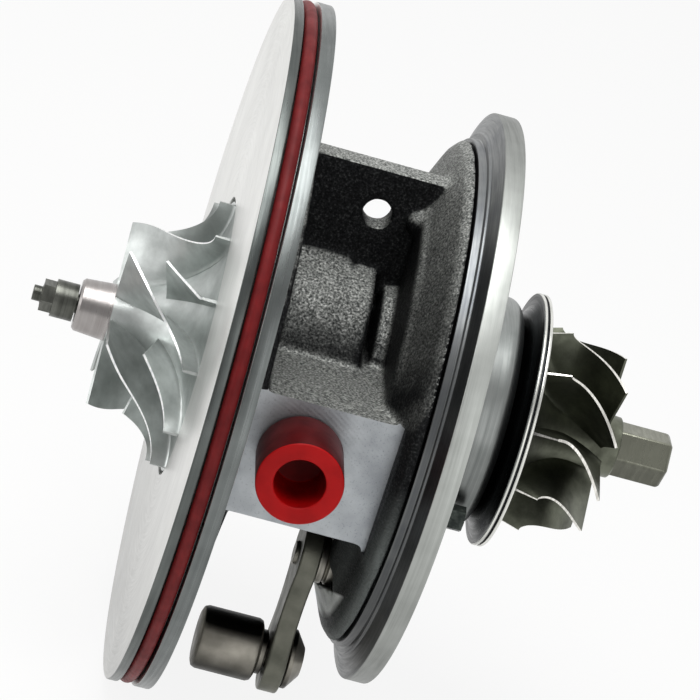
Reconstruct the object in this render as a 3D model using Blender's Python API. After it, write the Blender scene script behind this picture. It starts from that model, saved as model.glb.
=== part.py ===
"""Turbo cartridge: a bearing housing with its rotor, back plate, heat shield and vane lever.

X runs along the shaft from the compressor to the turbine, -Y is the side of the oil inlet
and +Z is up. The origin is on the shaft axis, in the face that the turbine housing clamps.
All sizes are in metres.
"""
import math

import bmesh
import bpy
from mathutils import Matrix, Vector

# Fits and gaps
SEAT_GAP = 0.0003
RUNNING_GAP = 0.0006
CUT_OVERRUN = 0.0020
JOIN_DEPTH = 0.0040
EDGE_BREAK = 0.0004

# Roundness of turned shapes, in steps to the turn
STEPS_LARGE = 48
STEPS_MEDIUM = 32
STEPS_SMALL = 20
STEPS_HIDDEN = 12
STEPS_RING = 6
STEPS_HOLE = 12
STEPS_ROUND = 4
STEPS_EAR = 8
HEXAGON = 6
STEPS_DRILLING = 8
SHARP_ANGLE = 32.0
JOINT_MARK_SIZE = 0.0100
LINK_END_ANGLE = 210.0

# Turbine flange, the disc that is clamped to the turbine housing
FLANGE_RADIUS = 0.0484
FLANGE_THICKNESS = 0.0045
FLANGE_TAPER = 0.0012
FLANGE_SHOULDER_RADIUS = 0.0446
FLANGE_STEP = 0.0004
CRANK_RECESS_RADIUS = 0.0410
CRANK_RECESS_DEPTH = 0.0030

# Cone behind the flange
CONE_FACE_X = -0.0124
CONE_FACE_RADIUS = 0.0325
CONE_EDGE_ROUND = 0.0020
CONE_EDGE_ANGLES = (150.0, 120.0)
CONE_RIM_RADIUS = 0.0434
CONE_RIM_X = -0.0063
CONE_RIM_ROUND = 0.0017

# Nose that carries the heat shield
NOSE_RADIUS = 0.0197
NOSE_LENGTH = 0.0098
NOSE_ROUND = 0.0026

# Barrel round the bearings, its groove and the rib beside the cone
BARREL_RADIUS = 0.0207
BARREL_END_X = -0.0173
BARREL_ROUND = 0.0034
NECK_RADIUS = 0.0155
RIB_RADIUS = 0.0196
RIB_X = -0.0148

# Compressor flange of the housing, which the back plate is screwed to
COMPRESSOR_FLANGE_RADIUS = 0.0380
COMPRESSOR_FLANGE_THICKNESS = 0.0026

# Back plate on the compressor side
PLATE_RADIUS = 0.0580
PLATE_FACE_X = -0.0412
PLATE_THICKNESS = 0.0069
PLATE_RIM_WIDTH = 0.0080
PLATE_RELIEF_DEPTH = 0.0022
PLATE_SEAT_MARGIN = 0.0020
RIM_LIP = 0.0016
RIM_GROOVE_WIDTH = 0.0029
RIM_GROOVE_DEPTH = 0.0026
RIM_RING_SECTION = 0.0022
WHEEL_POCKET_DEPTH = 0.0017
WHEEL_POCKET_CLEARANCE = 0.0007

# Screws that hold the back plate, hidden behind the compressor wheel
SCREW_COUNT = 3
SCREW_CIRCLE = 0.0180
SCREW_RADIUS = 0.0015
SCREW_LENGTH = 0.0095
SCREW_HEAD_RADIUS = 0.0027
SCREW_HEAD_HEIGHT = 0.0020
SCREW_SOCKET_RADIUS = 0.0014
SCREW_SOCKET_DEPTH = 0.0011

# Seal ring between the back plate and the barrel
FACE_SEAL_RADIUS = 0.0141
FACE_SEAL_SECTION = 0.0013
FACE_SEAL_GROOVE_WIDTH = 0.0023
FACE_SEAL_GROOVE_DEPTH = 0.0016

# Web above the barrel, with its hole
WEB_FRONT_Y = -0.0045
WEB_THICKNESS = 0.0050
WEB_TOP_Z = 0.0380
WEB_FOOT_HEIGHT = 0.0018
WEB_FOOT_WIDTH = 0.0016
WEB_HOLE_X = -0.0193
WEB_HOLE_Z = 0.0303
WEB_HOLE_RADIUS = 0.0024

# Oil inlet block, its machined face and its bore
INLET_FACE_Y = -0.0367
INLET_TOP_Z = 0.0089
INLET_BOTTOM_Z = -0.0122
INLET_RIGHT_X = -0.0091
INLET_DRAFT = 0.0008
INLET_MILL_OVERRUN = 0.0011
INLET_INSET = 0.0079
INLET_Z = 0.0
INLET_BORE_RADIUS = 0.0050
INLET_BORE_DEPTH = 0.0140
INLET_DRILLING_RADIUS = 0.0010
DRILLING_LAP = 0.0010

# Oil drain leg and its flange on the far side
DRAIN_FACE_Y = 0.0370
DRAIN_FLANGE_THICKNESS = 0.0060
DRAIN_INSET = 0.0092
DRAIN_CENTRE_Z = -0.0080
DRAIN_WIDTH = 0.0176
DRAIN_LEG_HEIGHT = 0.0250
DRAIN_LEG_TAPER = 0.0020
DRAIN_BOLT_SPACING = 0.0300
DRAIN_BOLT_RADIUS = 0.0025
DRAIN_BOLT_DEPTH = 0.0085
DRAIN_EAR_RADIUS = 0.0058
DRAIN_OPENING_WIDTH = 0.0116
DRAIN_OPENING_HEIGHT = 0.0140

# Shaft
JOURNAL_RADIUS = 0.0031
STUB_RADIUS = 0.0016
SHAFT_TIP_RADIUS = 0.0013
SHAFT_STANDOUT = 0.0015
SHAFT_TIP_LENGTH = 0.0014
WAIST_RADIUS = 0.0027
WAIST_TAPER = 0.0010
SEAL_BOSS_RADIUS = 0.0062
SEAL_BOSS_START_X = 0.0004
SEAL_RING_X = 0.0050
SEAL_RING_WIDTH = 0.0010
SEAL_RING_DEPTH = 0.0009
SEAL_RING_MOUTH_ANGLE = 6.0

# Floating journal bearings and their circlips
BEARING_OUTER_RADIUS = 0.0052
BEARING_LENGTH = 0.0052
BEARING_GROOVE_WIDTH = 0.0017
BEARING_INSET = 0.0056
BEARING_TURBINE_X = -0.0052
BEARING_OIL_GROOVE = 0.0004
CIRCLIP_THICKNESS = 0.0006
CIRCLIP_WIDTH = 0.0015
CIRCLIP_GROOVE_DEPTH = 0.0007
CIRCLIP_MOUTH_ANGLE = 50.0
OIL_CHAMBER_RADIUS = 0.0090
OIL_CHAMBER_WALL = 0.0012

# Thrust bearing, its collar, the oil deflector and the flinger
THRUST_POCKET_RADIUS = 0.0114
THRUST_POCKET_DEPTH = 0.0066
THRUST_BEARING_THICKNESS = 0.0024
THRUST_MOUTH_ANGLE = 76.0
COLLAR_HUB_RADIUS = 0.0040
COLLAR_FLANGE_RADIUS = 0.0072
COLLAR_FLANGE_THICKNESS = 0.0012
DEFLECTOR_THICKNESS = 0.0006
DEFLECTOR_STEP = 0.0008
FLINGER_RADIUS = 0.0046
FLINGER_RING_DEPTH = 0.0040

# Heat shield
SHIELD_RADIUS = 0.02166
SHIELD_DISH_DEPTH = 0.0019
SHIELD_RIM_WIDTH = 0.0015
SHIELD_RIM_HEIGHT = 0.0016
SHIELD_RIM_GROOVE = 0.0005
SHIELD_SHEET = 0.0007
SHIELD_FLOOR_RADIUS = 0.0160

# Turbine wheel
TURBINE_BLADES = 10
TURBINE_BLADE_ROWS = 5
TURBINE_HUB_ROWS = 6
TURBINE_BACK_CLEARANCE = 0.0015
TURBINE_DISC_THICKNESS = 0.0019
TURBINE_INLET_WIDTH = 0.0042
TURBINE_STRAIGHT_LENGTH = 0.0053
TURBINE_TIP_RADIUS = 0.0178
TURBINE_WHEEL_LENGTH = 0.0142
TURBINE_EXIT_RADIUS = 0.0155
TURBINE_HUB_RIM_RADIUS = 0.0166
TURBINE_HUB_EXIT_RADIUS = 0.0056
TURBINE_WRAP = 32.0
TURBINE_WRAP_POWER = 1.8
TURBINE_BLADE_THICKNESS = 0.0009
TURBINE_START_ANGLE = 125.8
TURBINE_NOSE_RADIUS = 0.0061
TURBINE_NOSE_LENGTH = 0.0028
TURBINE_HEX_RADIUS = 0.0044
TURBINE_HEX_LENGTH = 0.0090
TURBINE_HEX_CHAMFER = 0.0007

# Compressor wheel
COMPRESSOR_BLADES = 6
COMPRESSOR_BLADE_ROWS = 6
COMPRESSOR_SPLITTER_ROWS = 4
COMPRESSOR_HUB_ROWS = 7
COMPRESSOR_RADIUS = 0.0229
COMPRESSOR_DISC_EDGE = 0.0008
COMPRESSOR_EXIT_WIDTH = 0.0027
COMPRESSOR_WHEEL_LENGTH = 0.0157
COMPRESSOR_INLET_RADIUS = 0.0156
COMPRESSOR_STRAIGHT_LENGTH = 0.0048
COMPRESSOR_STRAIGHT_SHARE = 0.28
COMPRESSOR_HUB_RADIUS = 0.0048
COMPRESSOR_NOSE_RADIUS = 0.0044
COMPRESSOR_NOSE_LENGTH = 0.0056
COMPRESSOR_WRAP = 56.0
COMPRESSOR_WRAP_POWER = 1.7
COMPRESSOR_SPLITTER_START = 0.36
COMPRESSOR_BLADE_THICKNESS = 0.0006
COMPRESSOR_START_ANGLE = 117.0

# Both wheels' blades: how far the root reaches into the hub, as a share of the
# blade's height, and how thick the tip is, as a share of the root
BLADE_ROOT_SHARE = 0.12
BLADE_TIP_SHARE = 0.7
BLADE_PROBE_SHARE = 1.0e-3

# Shaft nut
NUT_COLLAR_RADIUS = 0.00315
NUT_COLLAR_LENGTH = 0.0037
NUT_HEX_RADIUS = 0.0027
NUT_HEX_LENGTH = 0.0020

# Vane lever: spindle, bush, arm, pin and inner crank
SPINDLE_Y = -0.0160
SPINDLE_Z = -0.0259
SPINDLE_RADIUS = 0.0026
SPINDLE_TENON_RADIUS = 0.0020
BUSH_RADIUS = 0.0041
BUSH_STANDOUT = 0.0022
LEVER_POCKET_RADIUS = 0.0092
LEVER_POCKET_DEPTH = 0.0050
ARM_STANDOFF = 0.0034
ARM_THICKNESS = 0.0033
SPINDLE_RIVET_HEIGHT = 0.0006
ARM_HUB_RADIUS = 0.0064
ARM_END_RADIUS = 0.0062
ARM_LENGTH = 0.0192
ARM_WAIST = 0.0042
PIN_RADIUS = 0.0054
PIN_PLATE_CLEARANCE = 0.0062
PIN_ROUND = 0.0010
PIN_NECK_RADIUS = 0.0038
PIN_NECK_LENGTH = 0.0010
PIN_TAIL_RADIUS = 0.0024
PIN_HEAD_RADIUS = 0.0051
PIN_HEAD_HEIGHT = 0.0026
PIN_HEAD_EDGE_SHARE = 0.3
PIN_HEAD_TOP_SHARE = 0.5
CRANK_LENGTH = 0.0152
CRANK_NOSE_CLEARANCE = 0.0006
CRANK_THICKNESS = 0.0024
CRANK_WAIST_SHARE = 0.45
CRANK_HUB_RADIUS = 0.0046
CRANK_TIP_RADIUS = 0.0021
CRANK_BLOCK_SIZE = 0.0040
CRANK_BLOCK_SIDES = 8
CRANK_BLOCK_END_X = 0.0073

# Red plug in the oil inlet
PLUG_RADIUS = 0.0070
PLUG_LENGTH = 0.0118
PLUG_BORE_RADIUS = 0.0041
PLUG_BORE_DEPTH = 0.0095
PLUG_STEM_RADIUS = 0.0047
PLUG_STEM_LENGTH = 0.0065
PLUG_EDGE = 0.0005

# Places worked out from the sizes above
PLATE_REAR_X = PLATE_FACE_X + PLATE_THICKNESS
PLATE_RELIEF_RADIUS = PLATE_RADIUS - PLATE_RIM_WIDTH
BARREL_START_X = PLATE_REAR_X + SEAT_GAP
COMPRESSOR_FLANGE_X = BARREL_START_X + COMPRESSOR_FLANGE_THICKNESS
INLET_X = COMPRESSOR_FLANGE_X + INLET_INSET
DRAIN_CENTRE_X = COMPRESSOR_FLANGE_X + DRAIN_INSET
THRUST_FLOOR_X = BARREL_START_X + THRUST_POCKET_DEPTH
BEARING_COMPRESSOR_X = THRUST_FLOOR_X + BEARING_INSET
FLINGER_RING_X = PLATE_FACE_X + FLINGER_RING_DEPTH
WHEEL_POCKET_X = PLATE_FACE_X + WHEEL_POCKET_DEPTH
RIM_GROOVE_X = PLATE_FACE_X + RIM_LIP
BEARING_BORE_RADIUS = BEARING_OUTER_RADIUS + SEAT_GAP
STUB_BORE_RADIUS = STUB_RADIUS + SEAT_GAP
THRUST_BEARING_X = THRUST_FLOOR_X - SEAT_GAP - THRUST_BEARING_THICKNESS
COLLAR_GROOVE_START_X = THRUST_BEARING_X - SEAT_GAP
COLLAR_GROOVE_END_X = THRUST_FLOOR_X
COLLAR_START_X = COLLAR_GROOVE_START_X - COLLAR_FLANGE_THICKNESS
COLLAR_END_X = COLLAR_GROOVE_END_X + COLLAR_FLANGE_THICKNESS
JOURNAL_START_X = COLLAR_END_X + SEAT_GAP
COMPRESSOR_BACK_X = WHEEL_POCKET_X - RUNNING_GAP
FLINGER_START_X = COMPRESSOR_BACK_X + SEAT_GAP
FLINGER_END_X = COLLAR_START_X - SEAT_GAP
COMPRESSOR_INLET_X = COMPRESSOR_BACK_X - COMPRESSOR_WHEEL_LENGTH
COMPRESSOR_NOSE_X = COMPRESSOR_INLET_X - COMPRESSOR_NOSE_LENGTH
NUT_START_X = COMPRESSOR_NOSE_X - SEAT_GAP
NUT_HEX_X = NUT_START_X - NUT_COLLAR_LENGTH
NUT_END_X = NUT_HEX_X - NUT_HEX_LENGTH
SHAFT_END_X = NUT_END_X - SHAFT_STANDOUT
FLINGER_BORE_RADIUS = FLINGER_RADIUS + RUNNING_GAP
SEAL_BORE_RADIUS = SEAL_BOSS_RADIUS + RUNNING_GAP
SHIELD_FLOOR_X = NOSE_LENGTH + SEAT_GAP
SHIELD_RIM_X = SHIELD_FLOOR_X + SHIELD_DISH_DEPTH
TURBINE_BACK_X = SHIELD_FLOOR_X + SHIELD_SHEET + TURBINE_BACK_CLEARANCE
TURBINE_INLET_X = TURBINE_BACK_X + TURBINE_DISC_THICKNESS
TURBINE_EXIT_X = TURBINE_INLET_X + TURBINE_WHEEL_LENGTH
TURBINE_NOSE_X = TURBINE_EXIT_X + TURBINE_NOSE_LENGTH
TURBINE_END_X = TURBINE_NOSE_X + TURBINE_HEX_LENGTH
LEVER_POCKET_X = CONE_FACE_X + LEVER_POCKET_DEPTH
BUSH_START_X = LEVER_POCKET_X - BUSH_STANDOUT
ARM_END_X = BUSH_START_X - ARM_STANDOFF
ARM_X = ARM_END_X - ARM_THICKNESS
PIN_LENGTH = ARM_X - SEAT_GAP - PIN_NECK_LENGTH - PLATE_REAR_X - PIN_PLATE_CLEARANCE
CRANK_START_X = -CRANK_RECESS_DEPTH + RUNNING_GAP
CRANK_END_X = CRANK_START_X + CRANK_THICKNESS


def material(name, colour, metallic, roughness):
    """A plain Principled material in linear colour."""
    made = bpy.data.materials.new(name)
    made.use_nodes = True
    shader = made.node_tree.nodes["Principled BSDF"]
    shader.inputs["Base Color"].default_value = (*colour, 1.0)
    shader.inputs["Metallic"].default_value = metallic
    shader.inputs["Roughness"].default_value = roughness
    made.diffuse_color = (*colour, 1.0)
    return made


def finish_object(name, mesh_data, finish=None):
    """Close a bmesh into an object, with its faces turned outwards."""
    bmesh.ops.recalc_face_normals(mesh_data, faces=mesh_data.faces)
    mesh = bpy.data.meshes.new(name)
    mesh_data.to_mesh(mesh)
    mesh_data.free()
    made = bpy.data.objects.new(name, mesh)
    bpy.context.scene.collection.objects.link(made)
    if finish is not None:
        mesh.materials.append(finish)
        mesh.shade_smooth()
        mesh.set_sharp_from_angle(angle=math.radians(SHARP_ANGLE))
    return made


def arc(centre, radii, start, end, count):
    """Points on an ellipse arc in the plane of a profile, angles in degrees."""
    points = []
    for index in range(count + 1):
        angle = math.radians(start + (end - start) * index / count)
        points.append((centre[0] + radii[0] * math.cos(angle), centre[1] + radii[1] * math.sin(angle)))
    return points


def turned(name, profile, steps, finish=None, centre=(0.0, 0.0)):
    """Turn a closed (x, radius) outline about a line along X through centre."""
    data = bmesh.new()
    rings = []
    for x, radius in profile:
        if radius <= 0.0:
            pole = data.verts.new((x, centre[0], centre[1]))
            rings.append([pole] * steps)
            continue
        ring = []
        for step in range(steps):
            angle = math.tau * step / steps
            ring.append(data.verts.new((x, centre[0] + radius * math.cos(angle),
                                        centre[1] + radius * math.sin(angle))))
        rings.append(ring)
    for index, ring in enumerate(rings):
        following = rings[(index + 1) % len(rings)]
        if ring[0] is ring[1] and following[0] is following[1]:
            continue
        for step in range(steps):
            after = (step + 1) % steps
            corners = [ring[step], ring[after], following[after], following[step]]
            data.faces.new(list(dict.fromkeys(corners)))
    return finish_object(name, data, finish)


def prism(name, outline, axis, low, high, finish=None):
    """Extrude a closed outline along X, Y or Z. The outline's pairs are the other two axes."""
    def place(pair, along):
        values = list(pair)
        values.insert("XYZ".index(axis), along)
        return values
    data = bmesh.new()
    front = [data.verts.new(place(pair, low)) for pair in outline]
    back = [data.verts.new(place(pair, high)) for pair in outline]
    data.faces.new(front)
    data.faces.new(list(reversed(back)))
    for index in range(len(outline)):
        after = (index + 1) % len(outline)
        data.faces.new([front[index], front[after], back[after], back[index]])
    return finish_object(name, data, finish)


def rod(name, start, end, radius, steps, finish=None):
    """A round bar between two points."""
    data = bmesh.new()
    start, end = Vector(start), Vector(end)
    turn = (end - start).to_track_quat("Z", "Y")
    rings = []
    for centre in (start, end):
        ring = []
        for step in range(steps):
            angle = math.tau * (step + 0.5) / steps
            offset = Vector((radius * math.cos(angle), radius * math.sin(angle), 0.0))
            ring.append(data.verts.new(centre + turn @ offset))
        rings.append(ring)
    data.faces.new(rings[0])
    data.faces.new(list(reversed(rings[1])))
    for step in range(steps):
        after = (step + 1) % steps
        data.faces.new([rings[0][step], rings[0][after], rings[1][after], rings[1][step]])
    return finish_object(name, data, finish)


def box(name, low, high, finish=None):
    """A box between two corners."""
    outline = [(low[1], low[2]), (high[1], low[2]), (high[1], high[2]), (low[1], high[2])]
    return prism(name, outline, "X", low[0], high[0], finish)


def circle(centre, radius, steps, start=0.0, end=360.0):
    """Points round a circle or along an arc of it, angles in degrees."""
    whole = abs(end - start) >= 360.0
    count = steps if whole else steps + 1
    points = []
    for step in range(count):
        angle = math.radians(start + (end - start) * step / steps)
        points.append((centre[0] + radius * math.cos(angle), centre[1] + radius * math.sin(angle)))
    return points


def combine(target, operation, tools):
    """Add or cut away tool shapes, which stay in the file as hidden guides."""
    for tool in tools:
        step = target.modifiers.new(tool.name, "BOOLEAN")
        step.operation = operation
        step.solver = "EXACT"
        step.object = tool
        tool.hide_render = True
        tool.display_type = "WIRE"


def hinge_empty(name, location):
    """An empty on a joint's axis, which the pieces of a moving body hang from."""
    empty = bpy.data.objects.new(name, None)
    empty.empty_display_size = JOINT_MARK_SIZE
    empty.location = location
    bpy.context.scene.collection.objects.link(empty)
    return empty


def hang(piece, empty):
    """Parent a piece to its joint's empty and keep it where it is."""
    piece.parent = empty
    piece.location = [-value for value in empty.location]


def tapered_link(centre_a, radius_a, centre_b, radius_b, waist, steps):
    """Outline of a flat link: two round ends joined by straight, waisted sides."""
    axis = Vector(centre_b) - Vector(centre_a)
    heading = math.degrees(math.atan2(axis.y, axis.x))
    side = Vector((-axis.y, axis.x)).normalized()
    middle = (Vector(centre_a) + Vector(centre_b)) / 2.0
    half_turn = LINK_END_ANGLE / 2.0
    points = circle(centre_a, radius_a, steps, heading + 180.0 - half_turn, heading + 180.0 + half_turn)
    points.append(tuple(middle - side * waist))
    points += circle(centre_b, radius_b, steps, heading - half_turn, heading + half_turn)
    points.append(tuple(middle + side * waist))
    return points


def flange_and_nose():
    """Outer shape of the turbine flange, its cone and the nose."""
    recess_x = -CRANK_RECESS_DEPTH
    step_x = -FLANGE_THICKNESS - FLANGE_STEP
    profile = [(CONE_FACE_X, 0.0), (CONE_FACE_X, CONE_FACE_RADIUS)]
    profile += arc((CONE_FACE_X + CONE_EDGE_ROUND, CONE_FACE_RADIUS),
                   (CONE_EDGE_ROUND, CONE_EDGE_ROUND), *CONE_EDGE_ANGLES, 1)
    profile += [(CONE_RIM_X - CONE_RIM_ROUND, CONE_RIM_RADIUS - CONE_RIM_ROUND)]
    profile += [(CONE_RIM_X, CONE_RIM_RADIUS)]
    profile += [(step_x, CONE_RIM_RADIUS), (step_x, FLANGE_SHOULDER_RADIUS)]
    profile += [(-FLANGE_THICKNESS, FLANGE_SHOULDER_RADIUS)]
    profile += [(-FLANGE_THICKNESS + FLANGE_TAPER, FLANGE_RADIUS)]
    profile += [(0.0, FLANGE_RADIUS), (0.0, CRANK_RECESS_RADIUS), (recess_x, CRANK_RECESS_RADIUS)]
    profile += [(recess_x, NOSE_RADIUS)]
    profile += arc((NOSE_LENGTH - NOSE_ROUND, NOSE_RADIUS - NOSE_ROUND),
                   (NOSE_ROUND, NOSE_ROUND), 90.0, 0.0, STEPS_ROUND)
    profile += [(NOSE_LENGTH, 0.0)]
    return profile


def barrel_outline():
    """Outer shape of the compressor flange, the barrel, the groove and the rib, up to the cone."""
    profile = [(BARREL_START_X, 0.0), (BARREL_START_X, COMPRESSOR_FLANGE_RADIUS)]
    profile += [(COMPRESSOR_FLANGE_X, COMPRESSOR_FLANGE_RADIUS), (COMPRESSOR_FLANGE_X, BARREL_RADIUS)]
    profile += arc((BARREL_END_X - BARREL_ROUND, BARREL_RADIUS - BARREL_ROUND),
                   (BARREL_ROUND, BARREL_ROUND), 90.0, 0.0, STEPS_ROUND)
    profile += [(BARREL_END_X, NECK_RADIUS), (RIB_X, NECK_RADIUS), (RIB_X, RIB_RADIUS)]
    inside_x = CONE_FACE_X + JOIN_DEPTH
    profile += [(inside_x, RIB_RADIUS), (inside_x, 0.0)]
    return profile


def bearing_bore():
    """The stepped bore through the housing, from the thrust pocket to the seal bore."""
    collar_pocket = COLLAR_FLANGE_RADIUS + RUNNING_GAP
    pocket_end_x = COLLAR_END_X + RUNNING_GAP
    land = BEARING_LENGTH / 2.0 + CIRCLIP_THICKNESS + OIL_CHAMBER_WALL
    chamber_start = BEARING_COMPRESSOR_X + land
    chamber_end = BEARING_TURBINE_X - land
    seal_start = BEARING_TURBINE_X + land
    mouth_x = BARREL_START_X - CUT_OVERRUN
    end_x = NOSE_LENGTH + CUT_OVERRUN
    profile = [(mouth_x, 0.0), (mouth_x, THRUST_POCKET_RADIUS)]
    profile += [(THRUST_FLOOR_X, THRUST_POCKET_RADIUS), (THRUST_FLOOR_X, collar_pocket)]
    profile += [(pocket_end_x, collar_pocket), (pocket_end_x, BEARING_BORE_RADIUS)]
    profile += circlip_groove(circlip_places()[1])
    profile += [(chamber_start, BEARING_BORE_RADIUS), (chamber_start, OIL_CHAMBER_RADIUS)]
    profile += [(chamber_end, OIL_CHAMBER_RADIUS), (chamber_end, BEARING_BORE_RADIUS)]
    profile += circlip_groove(circlip_places()[2]) + circlip_groove(circlip_places()[3])
    profile += [(seal_start, BEARING_BORE_RADIUS), (seal_start, SEAL_BORE_RADIUS)]
    profile += [(end_x, SEAL_BORE_RADIUS), (end_x, 0.0)]
    return profile


def circlip_groove(middle_x):
    """The four corners of a circlip's groove in the bore."""
    half = CIRCLIP_THICKNESS / 2.0 + SEAT_GAP
    floor = BEARING_BORE_RADIUS + CIRCLIP_GROOVE_DEPTH
    return [(middle_x - half, BEARING_BORE_RADIUS), (middle_x - half, floor),
            (middle_x + half, floor), (middle_x + half, BEARING_BORE_RADIUS)]


def circlip_places():
    """Middle of each circlip: one on either side of each journal bearing."""
    reach = BEARING_LENGTH / 2.0 + SEAT_GAP + CIRCLIP_THICKNESS / 2.0
    middles = (BEARING_COMPRESSOR_X, BEARING_TURBINE_X)
    return [middle + side * reach for middle in middles for side in (-1.0, 1.0)]


def housing_additions():
    """The web, the inlet block and the drain leg, all joined to the turned casting."""
    inner_x = CONE_FACE_X + JOIN_DEPTH
    root_z = BARREL_RADIUS - JOIN_DEPTH
    web_rear_y = WEB_FRONT_Y + WEB_THICKNESS
    web = box("web_guide", (BARREL_START_X, WEB_FRONT_Y, root_z), (inner_x, web_rear_y, WEB_TOP_Z))
    foot_top_z = BARREL_RADIUS + WEB_FOOT_HEIGHT
    foot_spread = WEB_FOOT_WIDTH + JOIN_DEPTH
    foot = prism("web_foot_guide",
                 [(WEB_FRONT_Y - foot_spread, root_z), (web_rear_y + foot_spread, root_z),
                  (web_rear_y, foot_top_z), (WEB_FRONT_Y, foot_top_z)],
                 "X", BARREL_START_X, BARREL_END_X - BARREL_ROUND)
    block_root_y = JOIN_DEPTH - NECK_RADIUS
    inlet = prism("inlet_block_guide",
                  [(INLET_FACE_Y, INLET_BOTTOM_Z), (INLET_FACE_Y, INLET_TOP_Z),
                   (block_root_y, INLET_TOP_Z + INLET_DRAFT), (block_root_y, INLET_BOTTOM_Z - INLET_DRAFT)],
                  "X", BARREL_START_X, INLET_RIGHT_X)
    half_width = DRAIN_WIDTH / 2.0
    root = DRAIN_LEG_HEIGHT / 2.0
    end = root - DRAIN_LEG_TAPER
    leg_end_y = DRAIN_FACE_Y - DRAIN_FLANGE_THICKNESS / 2.0
    leg = prism("drain_leg_guide",
                [(JOIN_DEPTH, DRAIN_CENTRE_Z - root), (JOIN_DEPTH, DRAIN_CENTRE_Z + root),
                 (leg_end_y, DRAIN_CENTRE_Z + end), (leg_end_y, DRAIN_CENTRE_Z - end)],
                "X", DRAIN_CENTRE_X - half_width, DRAIN_CENTRE_X + half_width)
    lower_z, upper_z = drain_bolt_heights()
    ears = tapered_link((DRAIN_CENTRE_X, lower_z), DRAIN_EAR_RADIUS,
                        (DRAIN_CENTRE_X, upper_z), DRAIN_EAR_RADIUS, half_width, STEPS_EAR)
    flange = prism("drain_flange_guide", ears, "Y", DRAIN_FACE_Y - DRAIN_FLANGE_THICKNESS, DRAIN_FACE_Y)
    return [web, foot, inlet, leg, flange]


def drain_bolt_heights():
    """Height of the lower and the upper bolt hole in the drain flange."""
    return DRAIN_CENTRE_Z - DRAIN_BOLT_SPACING / 2.0, DRAIN_CENTRE_Z + DRAIN_BOLT_SPACING / 2.0


def oil_cuts():
    """The inlet bore with its two drillings, and the drain's core and bolt holes."""
    bore_floor_y = INLET_FACE_Y + INLET_BORE_DEPTH
    cuts = [rod("inlet_bore_guide", (INLET_X, INLET_FACE_Y - CUT_OVERRUN, INLET_Z),
                (INLET_X, bore_floor_y, INLET_Z), INLET_BORE_RADIUS, STEPS_SMALL)]
    for label, target_x in (("compressor", BEARING_COMPRESSOR_X), ("turbine", BEARING_TURBINE_X)):
        start = (INLET_X, bore_floor_y - DRILLING_LAP, INLET_Z)
        end = (target_x, DRILLING_LAP - BEARING_BORE_RADIUS, 0.0)
        cuts.append(rod(f"oil_drilling_guide_{label}", start, end, INLET_DRILLING_RADIUS, STEPS_DRILLING))
    half_width = DRAIN_OPENING_WIDTH / 2.0
    half_height = DRAIN_OPENING_HEIGHT / 2.0
    open_y = DRAIN_FACE_Y + CUT_OVERRUN
    core_y = OIL_CHAMBER_RADIUS - DRILLING_LAP
    cuts.append(box("drain_core_guide",
                    (DRAIN_CENTRE_X - half_width, core_y, DRAIN_CENTRE_Z - half_height),
                    (DRAIN_CENTRE_X + half_width, open_y, DRAIN_CENTRE_Z + half_height)))
    bolt_floor_y = DRAIN_FACE_Y - DRAIN_BOLT_DEPTH
    for label, bolt_z in zip(("lower", "upper"), drain_bolt_heights()):
        cuts.append(rod(f"drain_bolt_guide_{label}", (DRAIN_CENTRE_X, bolt_floor_y, bolt_z),
                        (DRAIN_CENTRE_X, open_y, bolt_z), DRAIN_BOLT_RADIUS, STEPS_HOLE))
    return cuts


def face_seal_groove():
    """The round groove for the seal ring, in the face behind the back plate."""
    half = FACE_SEAL_GROOVE_WIDTH / 2.0
    floor_x = BARREL_START_X + FACE_SEAL_GROOVE_DEPTH
    mouth_x = BARREL_START_X - CUT_OVERRUN
    profile = [(mouth_x, FACE_SEAL_RADIUS - half), (mouth_x, FACE_SEAL_RADIUS + half),
               (floor_x, FACE_SEAL_RADIUS + half), (floor_x, FACE_SEAL_RADIUS - half)]
    return turned("face_seal_groove_guide", profile, STEPS_SMALL)


def housing_cuts():
    """Everything that is machined or cored out of the casting."""
    mouth_x = BARREL_START_X - CUT_OVERRUN
    cuts = [turned("bore_guide", bearing_bore(), STEPS_SMALL), face_seal_groove()]
    cuts.append(rod("web_hole_guide", (WEB_HOLE_X, WEB_FRONT_Y - CUT_OVERRUN, WEB_HOLE_Z),
                    (WEB_HOLE_X, WEB_FRONT_Y + WEB_THICKNESS + CUT_OVERRUN, WEB_HOLE_Z),
                    WEB_HOLE_RADIUS, STEPS_SMALL))
    mill_corner = (mouth_x, -FLANGE_RADIUS - CUT_OVERRUN, INLET_BOTTOM_Z - INLET_MILL_OVERRUN)
    cuts.append(box("pad_mill_guide", mill_corner, (INLET_RIGHT_X, INLET_FACE_Y, INLET_TOP_Z)))
    spindle = (SPINDLE_Y, SPINDLE_Z)
    cuts.append(rod("lever_pocket_guide", (CONE_FACE_X - CUT_OVERRUN, *spindle), (LEVER_POCKET_X, *spindle),
                    LEVER_POCKET_RADIUS, STEPS_SMALL))
    cuts.append(rod("bush_bore_guide", (CONE_FACE_X - CUT_OVERRUN, *spindle), (CUT_OVERRUN, *spindle),
                    BUSH_RADIUS + SEAT_GAP, STEPS_SMALL))
    for index, place in enumerate(screw_places()):
        cuts.append(rod(f"screw_hole_guide_{index + 1}", (mouth_x, *place),
                        (screw_tip_x() + SEAT_GAP + EDGE_BREAK, *place), SCREW_RADIUS + SEAT_GAP, STEPS_HOLE))
    return cuts + oil_cuts()


def bearing_housing(finish):
    """The casting: flange, cone, nose, barrel, web, inlet block and drain leg in one solid."""
    housing = turned("bearing_housing", flange_and_nose(), STEPS_LARGE, finish)
    barrel = turned("barrel_guide", barrel_outline(), STEPS_MEDIUM)
    combine(housing, "UNION", [barrel, *housing_additions()])
    combine(housing, "DIFFERENCE", housing_cuts())
    return housing


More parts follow.
